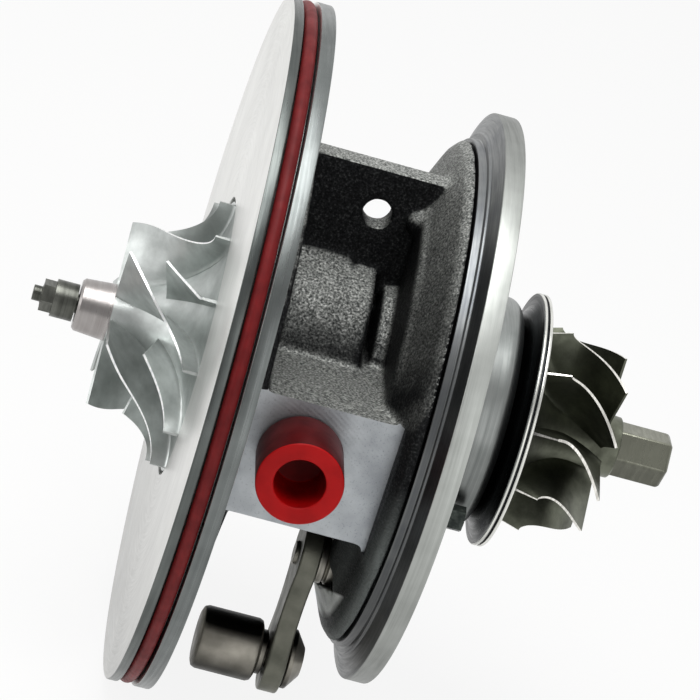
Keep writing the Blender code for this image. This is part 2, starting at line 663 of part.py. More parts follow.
def screw_places():
    """Centre of each back plate screw, as (y, z)."""
    places = []
    for index in range(SCREW_COUNT):
        angle = math.tau * (index / SCREW_COUNT + 0.25)
        places.append((SCREW_CIRCLE * math.cos(angle), SCREW_CIRCLE * math.sin(angle)))
    return places


def screw_head_x():
    """The plane under a screw's head."""
    return WHEEL_POCKET_X + SEAT_GAP + SCREW_HEAD_HEIGHT


def screw_tip_x():
    """The far end of a screw."""
    return screw_head_x() + SCREW_LENGTH


def backplate(finish):
    """The turned plate that closes the compressor housing, with its rim groove."""
    pocket_radius = COMPRESSOR_RADIUS + WHEEL_POCKET_CLEARANCE
    groove_end_x = RIM_GROOVE_X + RIM_GROOVE_WIDTH
    groove_radius = PLATE_RADIUS - RIM_GROOVE_DEPTH
    relief_x = PLATE_REAR_X - PLATE_RELIEF_DEPTH
    seat_radius = COMPRESSOR_FLANGE_RADIUS + PLATE_SEAT_MARGIN
    profile = [(WHEEL_POCKET_X, FLINGER_BORE_RADIUS), (WHEEL_POCKET_X, pocket_radius)]
    profile += [(PLATE_FACE_X, pocket_radius)]
    profile += [(PLATE_FACE_X, PLATE_RADIUS - EDGE_BREAK), (PLATE_FACE_X + EDGE_BREAK, PLATE_RADIUS)]
    profile += [(RIM_GROOVE_X, PLATE_RADIUS), (RIM_GROOVE_X, groove_radius), (groove_end_x, groove_radius)]
    profile += [(groove_end_x, PLATE_RADIUS), (PLATE_REAR_X - EDGE_BREAK, PLATE_RADIUS)]
    profile += [(PLATE_REAR_X, PLATE_RADIUS - EDGE_BREAK), (PLATE_REAR_X, PLATE_RELIEF_RADIUS)]
    profile += [(relief_x, PLATE_RELIEF_RADIUS - PLATE_RELIEF_DEPTH)]
    profile += [(relief_x, seat_radius + PLATE_RELIEF_DEPTH), (PLATE_REAR_X, seat_radius)]
    profile += [(PLATE_REAR_X, FLINGER_BORE_RADIUS)]
    plate = turned("backplate", profile, STEPS_LARGE, finish)
    cuts = []
    front_x = WHEEL_POCKET_X - CUT_OVERRUN
    for index, place in enumerate(screw_places()):
        cuts.append(rod(f"screw_clearance_guide_{index + 1}", (front_x, *place),
                        (PLATE_REAR_X + CUT_OVERRUN, *place), SCREW_RADIUS + SEAT_GAP, STEPS_HOLE))
        cuts.append(rod(f"screw_head_guide_{index + 1}", (front_x, *place),
                        (screw_head_x() + SEAT_GAP, *place), SCREW_HEAD_RADIUS + SEAT_GAP, STEPS_HOLE))
    combine(plate, "DIFFERENCE", cuts)
    return plate


def ring_of(name, middle_x, radius, section, finish, steps):
    """A rubber ring of round section."""
    profile = circle((middle_x, radius), section / 2.0, STEPS_RING)
    return turned(name, profile, steps, finish)


def backplate_screw(name, place, finish):
    """A socket head screw, turned from its tip to its head."""
    head_x = screw_head_x()
    start_x = head_x - SCREW_HEAD_HEIGHT
    tip_x = screw_tip_x()
    profile = [(start_x, 0.0), (start_x, SCREW_HEAD_RADIUS - EDGE_BREAK)]
    profile += [(start_x + EDGE_BREAK, SCREW_HEAD_RADIUS)]
    profile += [(head_x, SCREW_HEAD_RADIUS), (head_x, SCREW_RADIUS)]
    profile += [(tip_x - EDGE_BREAK, SCREW_RADIUS), (tip_x, SCREW_RADIUS - EDGE_BREAK), (tip_x, 0.0)]
    screw = turned(name, profile, STEPS_HOLE, finish, centre=place)
    socket = rod(f"{name}_socket_guide", (start_x - CUT_OVERRUN, *place),
                 (start_x + SCREW_SOCKET_DEPTH, *place), SCREW_SOCKET_RADIUS, HEXAGON)
    combine(screw, "DIFFERENCE", [socket])
    return screw


def open_ring(name, x_span, radii, mouth, finish, facing=90.0):
    """A flat ring with a gap, for a snap ring or a slotted bearing."""
    start_x, end_x = x_span
    inner, outer = radii
    start = facing + mouth / 2.0
    end = facing + 360.0 - mouth / 2.0
    outline = circle((0.0, 0.0), outer, STEPS_SMALL, start, end)
    outline += list(reversed(circle((0.0, 0.0), inner, STEPS_SMALL, start, end)))
    return prism(name, outline, "X", start_x, end_x, finish)


def thrust_bearing(finish):
    """The slotted bronze plate that takes the shaft's end load between the collar's flanges."""
    outer = THRUST_POCKET_RADIUS - SEAT_GAP
    return open_ring("thrust_bearing", (THRUST_BEARING_X, THRUST_BEARING_X + THRUST_BEARING_THICKNESS),
                     (COLLAR_HUB_RADIUS + RUNNING_GAP, outer), THRUST_MOUTH_ANGLE, finish, facing=0.0)


def oil_deflector(finish):
    """A pressed sheet dish between the thrust bearing and the back plate."""
    inner = FLINGER_RADIUS + RUNNING_GAP
    outer = THRUST_POCKET_RADIUS - SEAT_GAP
    front_x = PLATE_REAR_X + SEAT_GAP
    step_x = front_x + DEFLECTOR_STEP
    bend = (inner + outer) / 2.0
    rear_x = front_x + DEFLECTOR_THICKNESS
    profile = [(front_x, outer), (front_x, bend + DEFLECTOR_STEP), (step_x, bend), (step_x, inner)]
    profile += [(step_x + DEFLECTOR_THICKNESS, inner), (step_x + DEFLECTOR_THICKNESS, bend)]
    profile += [(rear_x, bend + DEFLECTOR_STEP), (rear_x, outer)]
    return turned("oil_deflector", profile, STEPS_HIDDEN, finish)


def piston_ring(name, middle_x, land_radius, bore_radius, finish):
    """A split seal ring that sits in a groove of the rotor and springs against its bore."""
    outer = bore_radius - SEAT_GAP
    inner = land_radius - SEAL_RING_DEPTH + SEAT_GAP
    half = SEAL_RING_WIDTH / 2.0
    return open_ring(name, (middle_x - half, middle_x + half), (inner, outer), SEAL_RING_MOUTH_ANGLE, finish)


def heat_shield(finish):
    """A pressed dish on the nose, with a hemmed rim round the turbine wheel's back."""
    rim_end_x = SHIELD_RIM_X + SHIELD_RIM_WIDTH
    rim_root = SHIELD_RADIUS - SHIELD_RIM_HEIGHT
    middle_x = (SHIELD_RIM_X + rim_end_x) / 2.0
    inner = SEAL_BOSS_RADIUS + RUNNING_GAP
    half_groove = SHIELD_RIM_GROOVE / 2.0
    inside_x = SHIELD_FLOOR_X + SHIELD_SHEET
    profile = [(SHIELD_FLOOR_X, inner), (SHIELD_FLOOR_X, SHIELD_FLOOR_RADIUS), (SHIELD_RIM_X, rim_root)]
    profile += [(SHIELD_RIM_X, SHIELD_RADIUS), (middle_x - half_groove, SHIELD_RADIUS)]
    profile += [(middle_x, SHIELD_RADIUS - SHIELD_RIM_GROOVE), (middle_x + half_groove, SHIELD_RADIUS)]
    profile += [(rim_end_x, SHIELD_RADIUS), (rim_end_x, rim_root)]
    profile += [(inside_x, SHIELD_FLOOR_RADIUS), (inside_x, inner)]
    return turned("heat_shield", profile, STEPS_MEDIUM, finish)


def turbine_turn(_share, x):
    """How far a turbine blade has turned at x, in degrees: straight at the inlet, swept at the exit."""
    start_x = TURBINE_INLET_X + TURBINE_STRAIGHT_LENGTH
    share = max(0.0, (x - start_x) / (TURBINE_EXIT_X - start_x))
    return TURBINE_WRAP * share ** TURBINE_WRAP_POWER


def compressor_turn(share, _x):
    """How far a compressor blade has turned, in degrees: fast at the inlet, nearly radial at the rim."""
    return COMPRESSOR_WRAP * (1.0 - (1.0 - share) ** COMPRESSOR_WRAP_POWER)


def turbine_hub_point(share):
    """Point on the turbine hub's curve, from the back rim (0) to the exit (1)."""
    angle = share * math.pi / 2.0
    x = TURBINE_INLET_X + (TURBINE_EXIT_X - TURBINE_INLET_X) * (1.0 - math.cos(angle))
    radius = TURBINE_HUB_RIM_RADIUS - (TURBINE_HUB_RIM_RADIUS - TURBINE_HUB_EXIT_RADIUS) * math.sin(angle)
    return x, radius


def turbine_tip_point(share):
    """Point on the turbine blades' outer edge, from the inlet (0) to the exit (1)."""
    angle = share * math.pi / 2.0
    start = TURBINE_INLET_X + TURBINE_INLET_WIDTH
    x = start + (TURBINE_EXIT_X - start) * (1.0 - math.cos(angle))
    radius = TURBINE_TIP_RADIUS - (TURBINE_TIP_RADIUS - TURBINE_EXIT_RADIUS) * math.sin(angle)
    return x, radius


def compressor_hub_point(share):
    """Point on the compressor hub's curve, from the inlet (0) to the disc's edge (1)."""
    angle = share * math.pi / 2.0
    end_x = COMPRESSOR_BACK_X - COMPRESSOR_DISC_EDGE
    x = COMPRESSOR_INLET_X + (end_x - COMPRESSOR_INLET_X) * math.sin(angle)
    radius = COMPRESSOR_RADIUS - (COMPRESSOR_RADIUS - COMPRESSOR_HUB_RADIUS) * math.cos(angle)
    return x, radius


def compressor_tip_point(share):
    """Point on the compressor blades' outer edge: straight at first, then a quarter ellipse."""
    if share < COMPRESSOR_STRAIGHT_SHARE:
        along = share / COMPRESSOR_STRAIGHT_SHARE
        return COMPRESSOR_INLET_X + COMPRESSOR_STRAIGHT_LENGTH * along, COMPRESSOR_INLET_RADIUS
    angle = (share - COMPRESSOR_STRAIGHT_SHARE) / (1.0 - COMPRESSOR_STRAIGHT_SHARE) * math.pi / 2.0
    bend_x = COMPRESSOR_INLET_X + COMPRESSOR_STRAIGHT_LENGTH
    end_x = COMPRESSOR_BACK_X - COMPRESSOR_DISC_EDGE - COMPRESSOR_EXIT_WIDTH
    x = bend_x + (end_x - bend_x) * math.sin(angle)
    radius = COMPRESSOR_RADIUS - (COMPRESSOR_RADIUS - COMPRESSOR_INLET_RADIUS) * math.cos(angle)
    return x, radius


def blade_surface(hub_point, tip_point, turn, start_angle):
    """A function that gives the middle surface of one blade in space."""
    def point(share, span):
        hub_x, hub_radius = hub_point(share)
        tip_x, tip_radius = tip_point(share)
        x = hub_x + (tip_x - hub_x) * span
        radius = hub_radius + (tip_radius - hub_radius) * span
        angle = math.radians(start_angle + turn(share, x))
        return Vector((x, radius * math.cos(angle), radius * math.sin(angle)))
    return point


def add_blade(data, point, first, rows, thickness):
    """Add one closed blade to a bmesh: two offset skins and the strip that joins them."""
    small = BLADE_PROBE_SHARE
    skins = []
    for side in (-1.0, 1.0):
        skin = []
        for row in range(rows + 1):
            share = first + (1.0 - first) * row / rows
            line = []
            for span, thinning in ((-BLADE_ROOT_SHARE, 1.0), (1.0, BLADE_TIP_SHARE)):
                half = thickness * thinning / 2.0
                along = point(min(share + small, 1.0), span) - point(max(share - small, 0.0), span)
                across = point(share, span + small) - point(share, span - small)
                normal = along.cross(across).normalized()
                line.append(data.verts.new(point(share, span) + normal * (side * half)))
            skin.append(line)
        skins.append(skin)
    under, over = skins
    for row in range(rows):
        data.faces.new([over[row][0], over[row + 1][0], over[row + 1][1], over[row][1]])
        data.faces.new([under[row][0], under[row][1], under[row + 1][1], under[row + 1][0]])
    border = [(row, 0) for row in range(rows + 1)] + [(row, 1) for row in range(rows, -1, -1)]
    for index, (row, column) in enumerate(border):
        next_row, next_column = border[(index + 1) % len(border)]
        data.faces.new([under[row][column], under[next_row][next_column], over[next_row][next_column],
                        over[row][column]])


def turbine_wheel(finish):
    """Ten swept blades on a waisted hub, with a hexagon nose."""
    rim_x = TURBINE_INLET_X - EDGE_BREAK
    band_x = TURBINE_EXIT_X + TURBINE_NOSE_LENGTH / 2.0
    hub = [(TURBINE_BACK_X, 0.0), (TURBINE_BACK_X, SEAL_BOSS_RADIUS + RUNNING_GAP)]
    hub += [(rim_x, TURBINE_HUB_RIM_RADIUS - EDGE_BREAK), (TURBINE_INLET_X, TURBINE_HUB_RIM_RADIUS)]
    hub += [turbine_hub_point(row / TURBINE_HUB_ROWS) for row in range(1, TURBINE_HUB_ROWS + 1)]
    hub += [(band_x, TURBINE_NOSE_RADIUS), (TURBINE_NOSE_X - EDGE_BREAK, TURBINE_NOSE_RADIUS)]
    hub += [(TURBINE_NOSE_X, TURBINE_NOSE_RADIUS - EDGE_BREAK), (TURBINE_NOSE_X, 0.0)]
    wheel = turned("turbine_wheel", hub, STEPS_MEDIUM, finish)
    data = bmesh.new()
    for index in range(TURBINE_BLADES):
        start = TURBINE_START_ANGLE + 360.0 * index / TURBINE_BLADES
        point = blade_surface(turbine_hub_point, turbine_tip_point, turbine_turn, start)
        add_blade(data, point, 0.0, TURBINE_BLADE_ROWS, TURBINE_BLADE_THICKNESS)
    blades = finish_object("turbine_blades_guide", data)
    nose = turned("turbine_hexagon_guide",
                  [(TURBINE_EXIT_X, 0.0), (TURBINE_EXIT_X, TURBINE_HEX_RADIUS),
                   (TURBINE_END_X - TURBINE_HEX_CHAMFER, TURBINE_HEX_RADIUS),
                   (TURBINE_END_X, TURBINE_HEX_RADIUS - TURBINE_HEX_CHAMFER), (TURBINE_END_X, 0.0)], HEXAGON)
    combine(wheel, "UNION", [blades, nose])
    return wheel


def compressor_wheel(finish):
    """Six full blades and six splitters on a flared hub with a through bore."""
    hub = [(COMPRESSOR_BACK_X, STUB_BORE_RADIUS), (COMPRESSOR_BACK_X, COMPRESSOR_RADIUS)]
    hub += [compressor_hub_point(1.0 - row / COMPRESSOR_HUB_ROWS) for row in range(COMPRESSOR_HUB_ROWS + 1)]
    hub += [(COMPRESSOR_NOSE_X + EDGE_BREAK, COMPRESSOR_NOSE_RADIUS)]
    hub += [(COMPRESSOR_NOSE_X, COMPRESSOR_NOSE_RADIUS - EDGE_BREAK)]
    hub += [(COMPRESSOR_NOSE_X, STUB_BORE_RADIUS)]
    wheel = turned("compressor_wheel", hub, STEPS_MEDIUM, finish)
    data = bmesh.new()
    pitch = 360.0 / COMPRESSOR_BLADES
    kinds = ((0.0, 0.0, COMPRESSOR_BLADE_ROWS),
             (pitch / 2.0, COMPRESSOR_SPLITTER_START, COMPRESSOR_SPLITTER_ROWS))
    for index in range(COMPRESSOR_BLADES):
        for offset, first, rows in kinds:
            start = COMPRESSOR_START_ANGLE + pitch * index + offset
            point = blade_surface(compressor_hub_point, compressor_tip_point, compressor_turn, start)
            add_blade(data, point, first, rows, COMPRESSOR_BLADE_THICKNESS)
    blades = finish_object("compressor_blades_guide", data)
    combine(wheel, "UNION", [blades])
    return wheel


def rotor_shaft(finish):
    """The shaft: threaded tip, stub through the wheel, journals with a waist, and the seal boss."""
    ring_start = SEAL_RING_X - SEAL_RING_WIDTH / 2.0 - SEAT_GAP
    ring_end = SEAL_RING_X + SEAL_RING_WIDTH / 2.0 + SEAT_GAP
    groove = SEAL_BOSS_RADIUS - SEAL_RING_DEPTH
    reach = BEARING_LENGTH / 2.0 + WAIST_TAPER
    waist_start = BEARING_COMPRESSOR_X + reach
    waist_end = BEARING_TURBINE_X - reach
    boss_end = TURBINE_BACK_X - SEAT_GAP
    tip_end = SHAFT_END_X + SHAFT_TIP_LENGTH
    profile = [(SHAFT_END_X, 0.0), (SHAFT_END_X, SHAFT_TIP_RADIUS), (tip_end, SHAFT_TIP_RADIUS)]
    profile += [(tip_end, STUB_RADIUS), (JOURNAL_START_X, STUB_RADIUS), (JOURNAL_START_X, JOURNAL_RADIUS)]
    profile += [(waist_start, JOURNAL_RADIUS), (waist_start + WAIST_TAPER, WAIST_RADIUS)]
    profile += [(waist_end - WAIST_TAPER, WAIST_RADIUS), (waist_end, JOURNAL_RADIUS)]
    profile += [(SEAL_BOSS_START_X, JOURNAL_RADIUS)]
    profile += [(SEAL_BOSS_START_X, SEAL_BOSS_RADIUS), (ring_start, SEAL_BOSS_RADIUS), (ring_start, groove)]
    profile += [(ring_end, groove), (ring_end, SEAL_BOSS_RADIUS)]
    profile += [(boss_end, SEAL_BOSS_RADIUS), (boss_end, 0.0)]
    return turned("rotor_shaft", profile, STEPS_HIDDEN, finish)


def thrust_collar(finish):
    """A spool whose two flanges run on either side of the thrust bearing."""
    profile = [(COLLAR_START_X, STUB_BORE_RADIUS), (COLLAR_START_X, COLLAR_FLANGE_RADIUS)]
    profile += [(COLLAR_GROOVE_START_X, COLLAR_FLANGE_RADIUS), (COLLAR_GROOVE_START_X, COLLAR_HUB_RADIUS)]
    profile += [(COLLAR_GROOVE_END_X, COLLAR_HUB_RADIUS), (COLLAR_GROOVE_END_X, COLLAR_FLANGE_RADIUS)]
    profile += [(COLLAR_END_X, COLLAR_FLANGE_RADIUS), (COLLAR_END_X, STUB_BORE_RADIUS)]
    return turned("thrust_collar", profile, STEPS_HIDDEN, finish)


def oil_flinger(finish):
    """The sleeve that carries the compressor side's piston ring through the back plate."""
    half = SEAL_RING_WIDTH / 2.0 + SEAT_GAP
    groove = FLINGER_RADIUS - SEAL_RING_DEPTH
    profile = [(FLINGER_START_X, STUB_BORE_RADIUS), (FLINGER_START_X, FLINGER_RADIUS)]
    profile += [(FLINGER_RING_X - half, FLINGER_RADIUS), (FLINGER_RING_X - half, groove)]
    profile += [(FLINGER_RING_X + half, groove), (FLINGER_RING_X + half, FLINGER_RADIUS)]
    profile += [(FLINGER_END_X, FLINGER_RADIUS), (FLINGER_END_X, STUB_BORE_RADIUS)]
    return turned("oil_flinger", profile, STEPS_HIDDEN, finish)


def shaft_nut(finish):
    """A collared nut with a hexagon end."""
    collar = [(NUT_START_X, STUB_BORE_RADIUS), (NUT_START_X, NUT_COLLAR_RADIUS)]
    collar += [(NUT_HEX_X, NUT_COLLAR_RADIUS), (NUT_HEX_X, STUB_BORE_RADIUS)]
    nut = turned("shaft_nut", collar, STEPS_SMALL, finish)
    inside_x = (NUT_START_X + NUT_HEX_X) / 2.0
    end = [(inside_x, 0.0), (inside_x, NUT_HEX_RADIUS), (NUT_END_X, NUT_HEX_RADIUS), (NUT_END_X, 0.0)]
    hexagon = turned("nut_hexagon_guide", end, HEXAGON)
    bore = rod("nut_bore_guide", (NUT_START_X + CUT_OVERRUN, 0.0, 0.0), (NUT_END_X - CUT_OVERRUN, 0.0, 0.0),
               STUB_BORE_RADIUS, STEPS_SMALL)
    combine(nut, "UNION", [hexagon])
    combine(nut, "DIFFERENCE", [bore])
    return nut


def journal_bearing(name, middle_x, finish):
    """A floating bush with an oil groove round its middle."""
    start_x = middle_x - BEARING_LENGTH / 2.0
    end_x = middle_x + BEARING_LENGTH / 2.0
    groove_start = middle_x - BEARING_GROOVE_WIDTH / 2.0
    groove_end = middle_x + BEARING_GROOVE_WIDTH / 2.0
    inner = JOURNAL_RADIUS + SEAT_GAP
    groove = BEARING_OUTER_RADIUS - BEARING_OIL_GROOVE
    profile = [(start_x, inner), (start_x, BEARING_OUTER_RADIUS), (groove_start, BEARING_OUTER_RADIUS)]
    profile += [(groove_start, groove), (groove_end, groove), (groove_end, BEARING_OUTER_RADIUS)]
    profile += [(end_x, BEARING_OUTER_RADIUS), (end_x, inner)]
    return turned(name, profile, STEPS_HIDDEN, finish)


def circlip(name, middle_x, finish):
    """A snap ring in its groove beside a journal bearing."""
    outer = BEARING_BORE_RADIUS + CIRCLIP_GROOVE_DEPTH - SEAT_GAP
    half = CIRCLIP_THICKNESS / 2.0
    return open_ring(name, (middle_x - half, middle_x + half), (outer - CIRCLIP_WIDTH, outer),
                     CIRCLIP_MOUTH_ANGLE, finish)


def spindle_bush(finish):
    """The bush that the lever's spindle turns in."""
    end_x = -CRANK_RECESS_DEPTH - SEAT_GAP
    inner = SPINDLE_RADIUS + SEAT_GAP
    profile = [(BUSH_START_X, inner), (BUSH_START_X, BUSH_RADIUS), (end_x, BUSH_RADIUS), (end_x, inner)]
    return turned("spindle_bush", profile, STEPS_SMALL, finish, centre=(SPINDLE_Y, SPINDLE_Z))


def arm_end():
    """Where the lever's pin sits, as (y, z), straight below the spindle in the photographed pose."""
    return SPINDLE_Y, SPINDLE_Z - ARM_LENGTH


def crank_angle():
    """Direction of the crank in degrees, with its tip just clear of the nose."""
    spindle_reach = math.hypot(SPINDLE_Y, SPINDLE_Z)
    tip_reach = NOSE_RADIUS + CRANK_NOSE_CLEARANCE + CRANK_TIP_RADIUS
    towards_shaft = math.degrees(math.atan2(-SPINDLE_Z, -SPINDLE_Y))
    cosine = (spindle_reach ** 2 + CRANK_LENGTH ** 2 - tip_reach ** 2) / (2.0 * spindle_reach * CRANK_LENGTH)
    return towards_shaft + math.degrees(math.acos(cosine))


def crank_end():
    """Where the inner crank's block sits, as (y, z)."""
    angle = math.radians(crank_angle())
    return SPINDLE_Y + CRANK_LENGTH * math.cos(angle), SPINDLE_Z + CRANK_LENGTH * math.sin(angle)


def lever_arm(finish):
    """The outer steel arm, with holes for the spindle's tenon and the pin's tail."""
    outline = tapered_link((SPINDLE_Y, SPINDLE_Z), ARM_HUB_RADIUS, arm_end(), ARM_END_RADIUS,
                           ARM_WAIST, STEPS_EAR)
    arm = prism("lever_arm", outline, "X", ARM_X, ARM_END_X, finish)
    cuts = []
    for label, place, radius in (("spindle", (SPINDLE_Y, SPINDLE_Z), SPINDLE_TENON_RADIUS),
                                 ("pin", arm_end(), PIN_TAIL_RADIUS)):
        cuts.append(rod(f"arm_{label}_hole_guide", (ARM_X - CUT_OVERRUN, *place),
                        (ARM_END_X + CUT_OVERRUN, *place), radius + SEAT_GAP, STEPS_SMALL))
    combine(arm, "DIFFERENCE", cuts)
    return arm


def lever_spindle(finish):
    """The spindle: a tenon at each end, for the arm and for the inner crank."""
    shoulder = ARM_END_X + SEAT_GAP
    rivet_x = ARM_X - SPINDLE_RIVET_HEIGHT
    crank_shoulder = CRANK_START_X - SEAT_GAP
    profile = [(rivet_x, 0.0), (rivet_x, SPINDLE_TENON_RADIUS), (shoulder, SPINDLE_TENON_RADIUS)]
    profile += [(shoulder, SPINDLE_RADIUS), (crank_shoulder, SPINDLE_RADIUS)]
    profile += [(crank_shoulder, SPINDLE_TENON_RADIUS), (CRANK_END_X, SPINDLE_TENON_RADIUS)]
    profile += [(CRANK_END_X, 0.0)]
    return turned("lever_spindle", profile, STEPS_SMALL, finish, centre=(SPINDLE_Y, SPINDLE_Z))


def lever_pin(finish):
    """The rod end's pin: a round-edged drum, a neck, a tail through the arm and a riveted head."""
    neck_end = ARM_X - SEAT_GAP
    drum_end = neck_end - PIN_NECK_LENGTH
    drum_start = drum_end - PIN_LENGTH
    head_x = ARM_END_X + SEAT_GAP
    rounding = (PIN_ROUND, PIN_ROUND)
    edge_radius = PIN_RADIUS - PIN_ROUND
    profile = [(drum_start, 0.0)] + arc((drum_start + PIN_ROUND, edge_radius), rounding, 180.0, 90.0, 2)
    profile += arc((drum_end - PIN_ROUND, edge_radius), rounding, 90.0, 0.0, 2)
    profile += [(drum_end, PIN_NECK_RADIUS), (neck_end, PIN_NECK_RADIUS), (neck_end, PIN_TAIL_RADIUS)]
    profile += [(head_x, PIN_TAIL_RADIUS), (head_x, PIN_HEAD_RADIUS)]
    top_x = head_x + PIN_HEAD_HEIGHT
    profile += [(head_x + PIN_HEAD_HEIGHT * PIN_HEAD_EDGE_SHARE, PIN_HEAD_RADIUS)]
    profile += [(top_x, PIN_HEAD_RADIUS * PIN_HEAD_TOP_SHARE), (top_x, 0.0)]
    return turned("lever_pin", profile, STEPS_SMALL, finish, centre=arm_end())


def inner_crank(finish):
    """The crank inside the turbine housing, with the block that moves the vane ring."""
    waist = (CRANK_HUB_RADIUS + CRANK_TIP_RADIUS) * CRANK_WAIST_SHARE
    outline = tapered_link((SPINDLE_Y, SPINDLE_Z), CRANK_HUB_RADIUS, crank_end(), CRANK_TIP_RADIUS,
                           waist, STEPS_EAR)
    crank = prism("inner_crank", outline, "X", CRANK_START_X, CRANK_END_X, finish)
    corner_angle = 180.0 / CRANK_BLOCK_SIDES
    corner_radius = CRANK_BLOCK_SIZE / 2.0 / math.cos(math.radians(corner_angle))
    start = crank_angle() + corner_angle
    corners = circle(crank_end(), corner_radius, CRANK_BLOCK_SIDES, start, start + 360.0)
    block = prism("crank_block_guide", corners, "X", (CRANK_START_X + CRANK_END_X) / 2.0, CRANK_BLOCK_END_X)
    spindle = (SPINDLE_Y, SPINDLE_Z)
    hole = rod("crank_hole_guide", (CRANK_START_X - CUT_OVERRUN, *spindle),
               (CRANK_END_X + CUT_OVERRUN, *spindle), SPINDLE_TENON_RADIUS + SEAT_GAP, STEPS_SMALL)
    combine(crank, "UNION", [block])
    combine(crank, "DIFFERENCE", [hole])
    return crank


def oil_inlet_plug(finish):
    """The soft red transport plug: a cap with a blind bore, and a stem in the inlet."""
    base_y = INLET_FACE_Y - SEAT_GAP
    front_y = base_y - PLUG_LENGTH
    stem_y = base_y + PLUG_STEM_LENGTH
    profile = [(front_y, PLUG_BORE_RADIUS), (front_y, PLUG_RADIUS - PLUG_EDGE)]
    profile += [(front_y + PLUG_EDGE, PLUG_RADIUS)]
    profile += [(base_y, PLUG_RADIUS), (base_y, PLUG_STEM_RADIUS), (stem_y - PLUG_EDGE, PLUG_STEM_RADIUS)]
    profile += [(stem_y, PLUG_STEM_RADIUS - PLUG_EDGE), (stem_y, 0.0), (front_y + PLUG_BORE_DEPTH, 0.0)]
    profile += [(front_y + PLUG_BORE_DEPTH, PLUG_BORE_RADIUS)]
    plug = turned("oil_inlet_plug", profile, STEPS_SMALL, finish)
    quarter_turn = Matrix.Rotation(math.pi / 2.0, 4, "Z")
    plug.data.transform(Matrix.Translation((INLET_X, 0.0, INLET_Z)) @ quarter_turn)
    return plug


def clear_scene():
    """Start from an empty scene."""
    for existing in list(bpy.data.objects):
        bpy.data.objects.remove(existing, do_unlink=True)


def build():
    """Make every piece, then hang the moving ones on their joints."""
    clear_scene()
    cast_iron = material("cast_iron", (0.060, 0.063, 0.066), 0.6, 0.75)
    aluminium = material("turned_aluminium", (0.76, 0.76, 0.75), 1.0, 0.35)
    wheel_alloy = material("cast_aluminium", (0.45, 0.46, 0.47), 1.0, 0.40)
    nickel_alloy = material("nickel_alloy", (0.095, 0.092, 0.080), 0.9, 0.50)
    steel = material("ground_steel", (0.40, 0.40, 0.39), 1.0, 0.30)
    dark_steel = material("blackened_steel", (0.050, 0.058, 0.055), 0.8, 0.45)
    forged_steel = material("forged_steel", (0.085, 0.085, 0.072), 0.9, 0.50)
    sheet_steel = material("stainless_sheet", (0.20, 0.20, 0.19), 1.0, 0.40)
    bronze = material("bearing_bronze", (0.52, 0.35, 0.12), 1.0, 0.35)
    red_rubber = material("red_silicone", (0.22, 0.025, 0.025), 0.0, 0.50)
    black_rubber = material("black_rubber", (0.015, 0.015, 0.016), 0.0, 0.60)
    red_plastic = material("red_plastic", (0.57, 0.020, 0.025), 0.0, 0.40)

    bearing_housing(cast_iron)
    backplate(aluminium)
    ring_radius = PLATE_RADIUS - RIM_RING_SECTION / 2.0
    ring_of("backplate_seal_ring", RIM_GROOVE_X + RIM_GROOVE_WIDTH / 2.0, ring_radius, RIM_RING_SECTION,
            red_rubber, STEPS_LARGE)
    face_seal_x = (PLATE_REAR_X + SEAT_GAP + BARREL_START_X + FACE_SEAL_GROOVE_DEPTH - SEAT_GAP) / 2.0
    ring_of("housing_seal_ring", face_seal_x, FACE_SEAL_RADIUS, FACE_SEAL_SECTION, black_rubber, STEPS_SMALL)
    for index, place in enumerate(screw_places()):
        backplate_screw(f"backplate_screw_{index + 1}", place, dark_steel)
    thrust_bearing(bronze)
    oil_deflector(sheet_steel)
    piston_ring("compressor_piston_ring", FLINGER_RING_X, FLINGER_RADIUS, FLINGER_BORE_RADIUS, dark_steel)
    piston_ring("turbine_piston_ring", SEAL_RING_X, SEAL_BOSS_RADIUS, SEAL_BORE_RADIUS, dark_steel)
    for index, middle_x in enumerate(circlip_places()[1:]):
        circlip(f"bearing_circlip_{index + 1}", middle_x, dark_steel)
    heat_shield(sheet_steel)
    spindle_bush(dark_steel)

    rotor = hinge_empty("rotor_axis", (0.0, 0.0, 0.0))
    for piece in (turbine_wheel(nickel_alloy), rotor_shaft(steel), compressor_wheel(wheel_alloy),
                  thrust_collar(steel), oil_flinger(steel), shaft_nut(dark_steel)):
        hang(piece, rotor)
    for label, middle_x in (("compressor", BEARING_COMPRESSOR_X), ("turbine", BEARING_TURBINE_X)):
        bearing_axis = hinge_empty(f"journal_axis_{label}", (middle_x, 0.0, 0.0))
        hang(journal_bearing(f"journal_bearing_{label}", middle_x, bronze), bearing_axis)
    lever = hinge_empty("lever_axis", (ARM_X, SPINDLE_Y, SPINDLE_Z))
    for piece in (lever_arm(forged_steel), lever_spindle(steel),
                  lever_pin(forged_steel), inner_crank(dark_steel)):
        hang(piece, lever)
    plug_seat = hinge_empty("plug_seat", (INLET_X, INLET_FACE_Y, INLET_Z))
    hang(oil_inlet_plug(red_plastic), plug_seat)


build()
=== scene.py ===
"""Dressed model of a turbo cartridge: cast housing, turned plate and flange, two bladed wheels.

X runs along the shaft towards the turbine, -Y out of the oil inlet and +Z up the web.
Sizes in the tables below are millimetres; every mesh is built in metres.
"""
import math

import bmesh
import bpy
from mathutils import Matrix, Vector


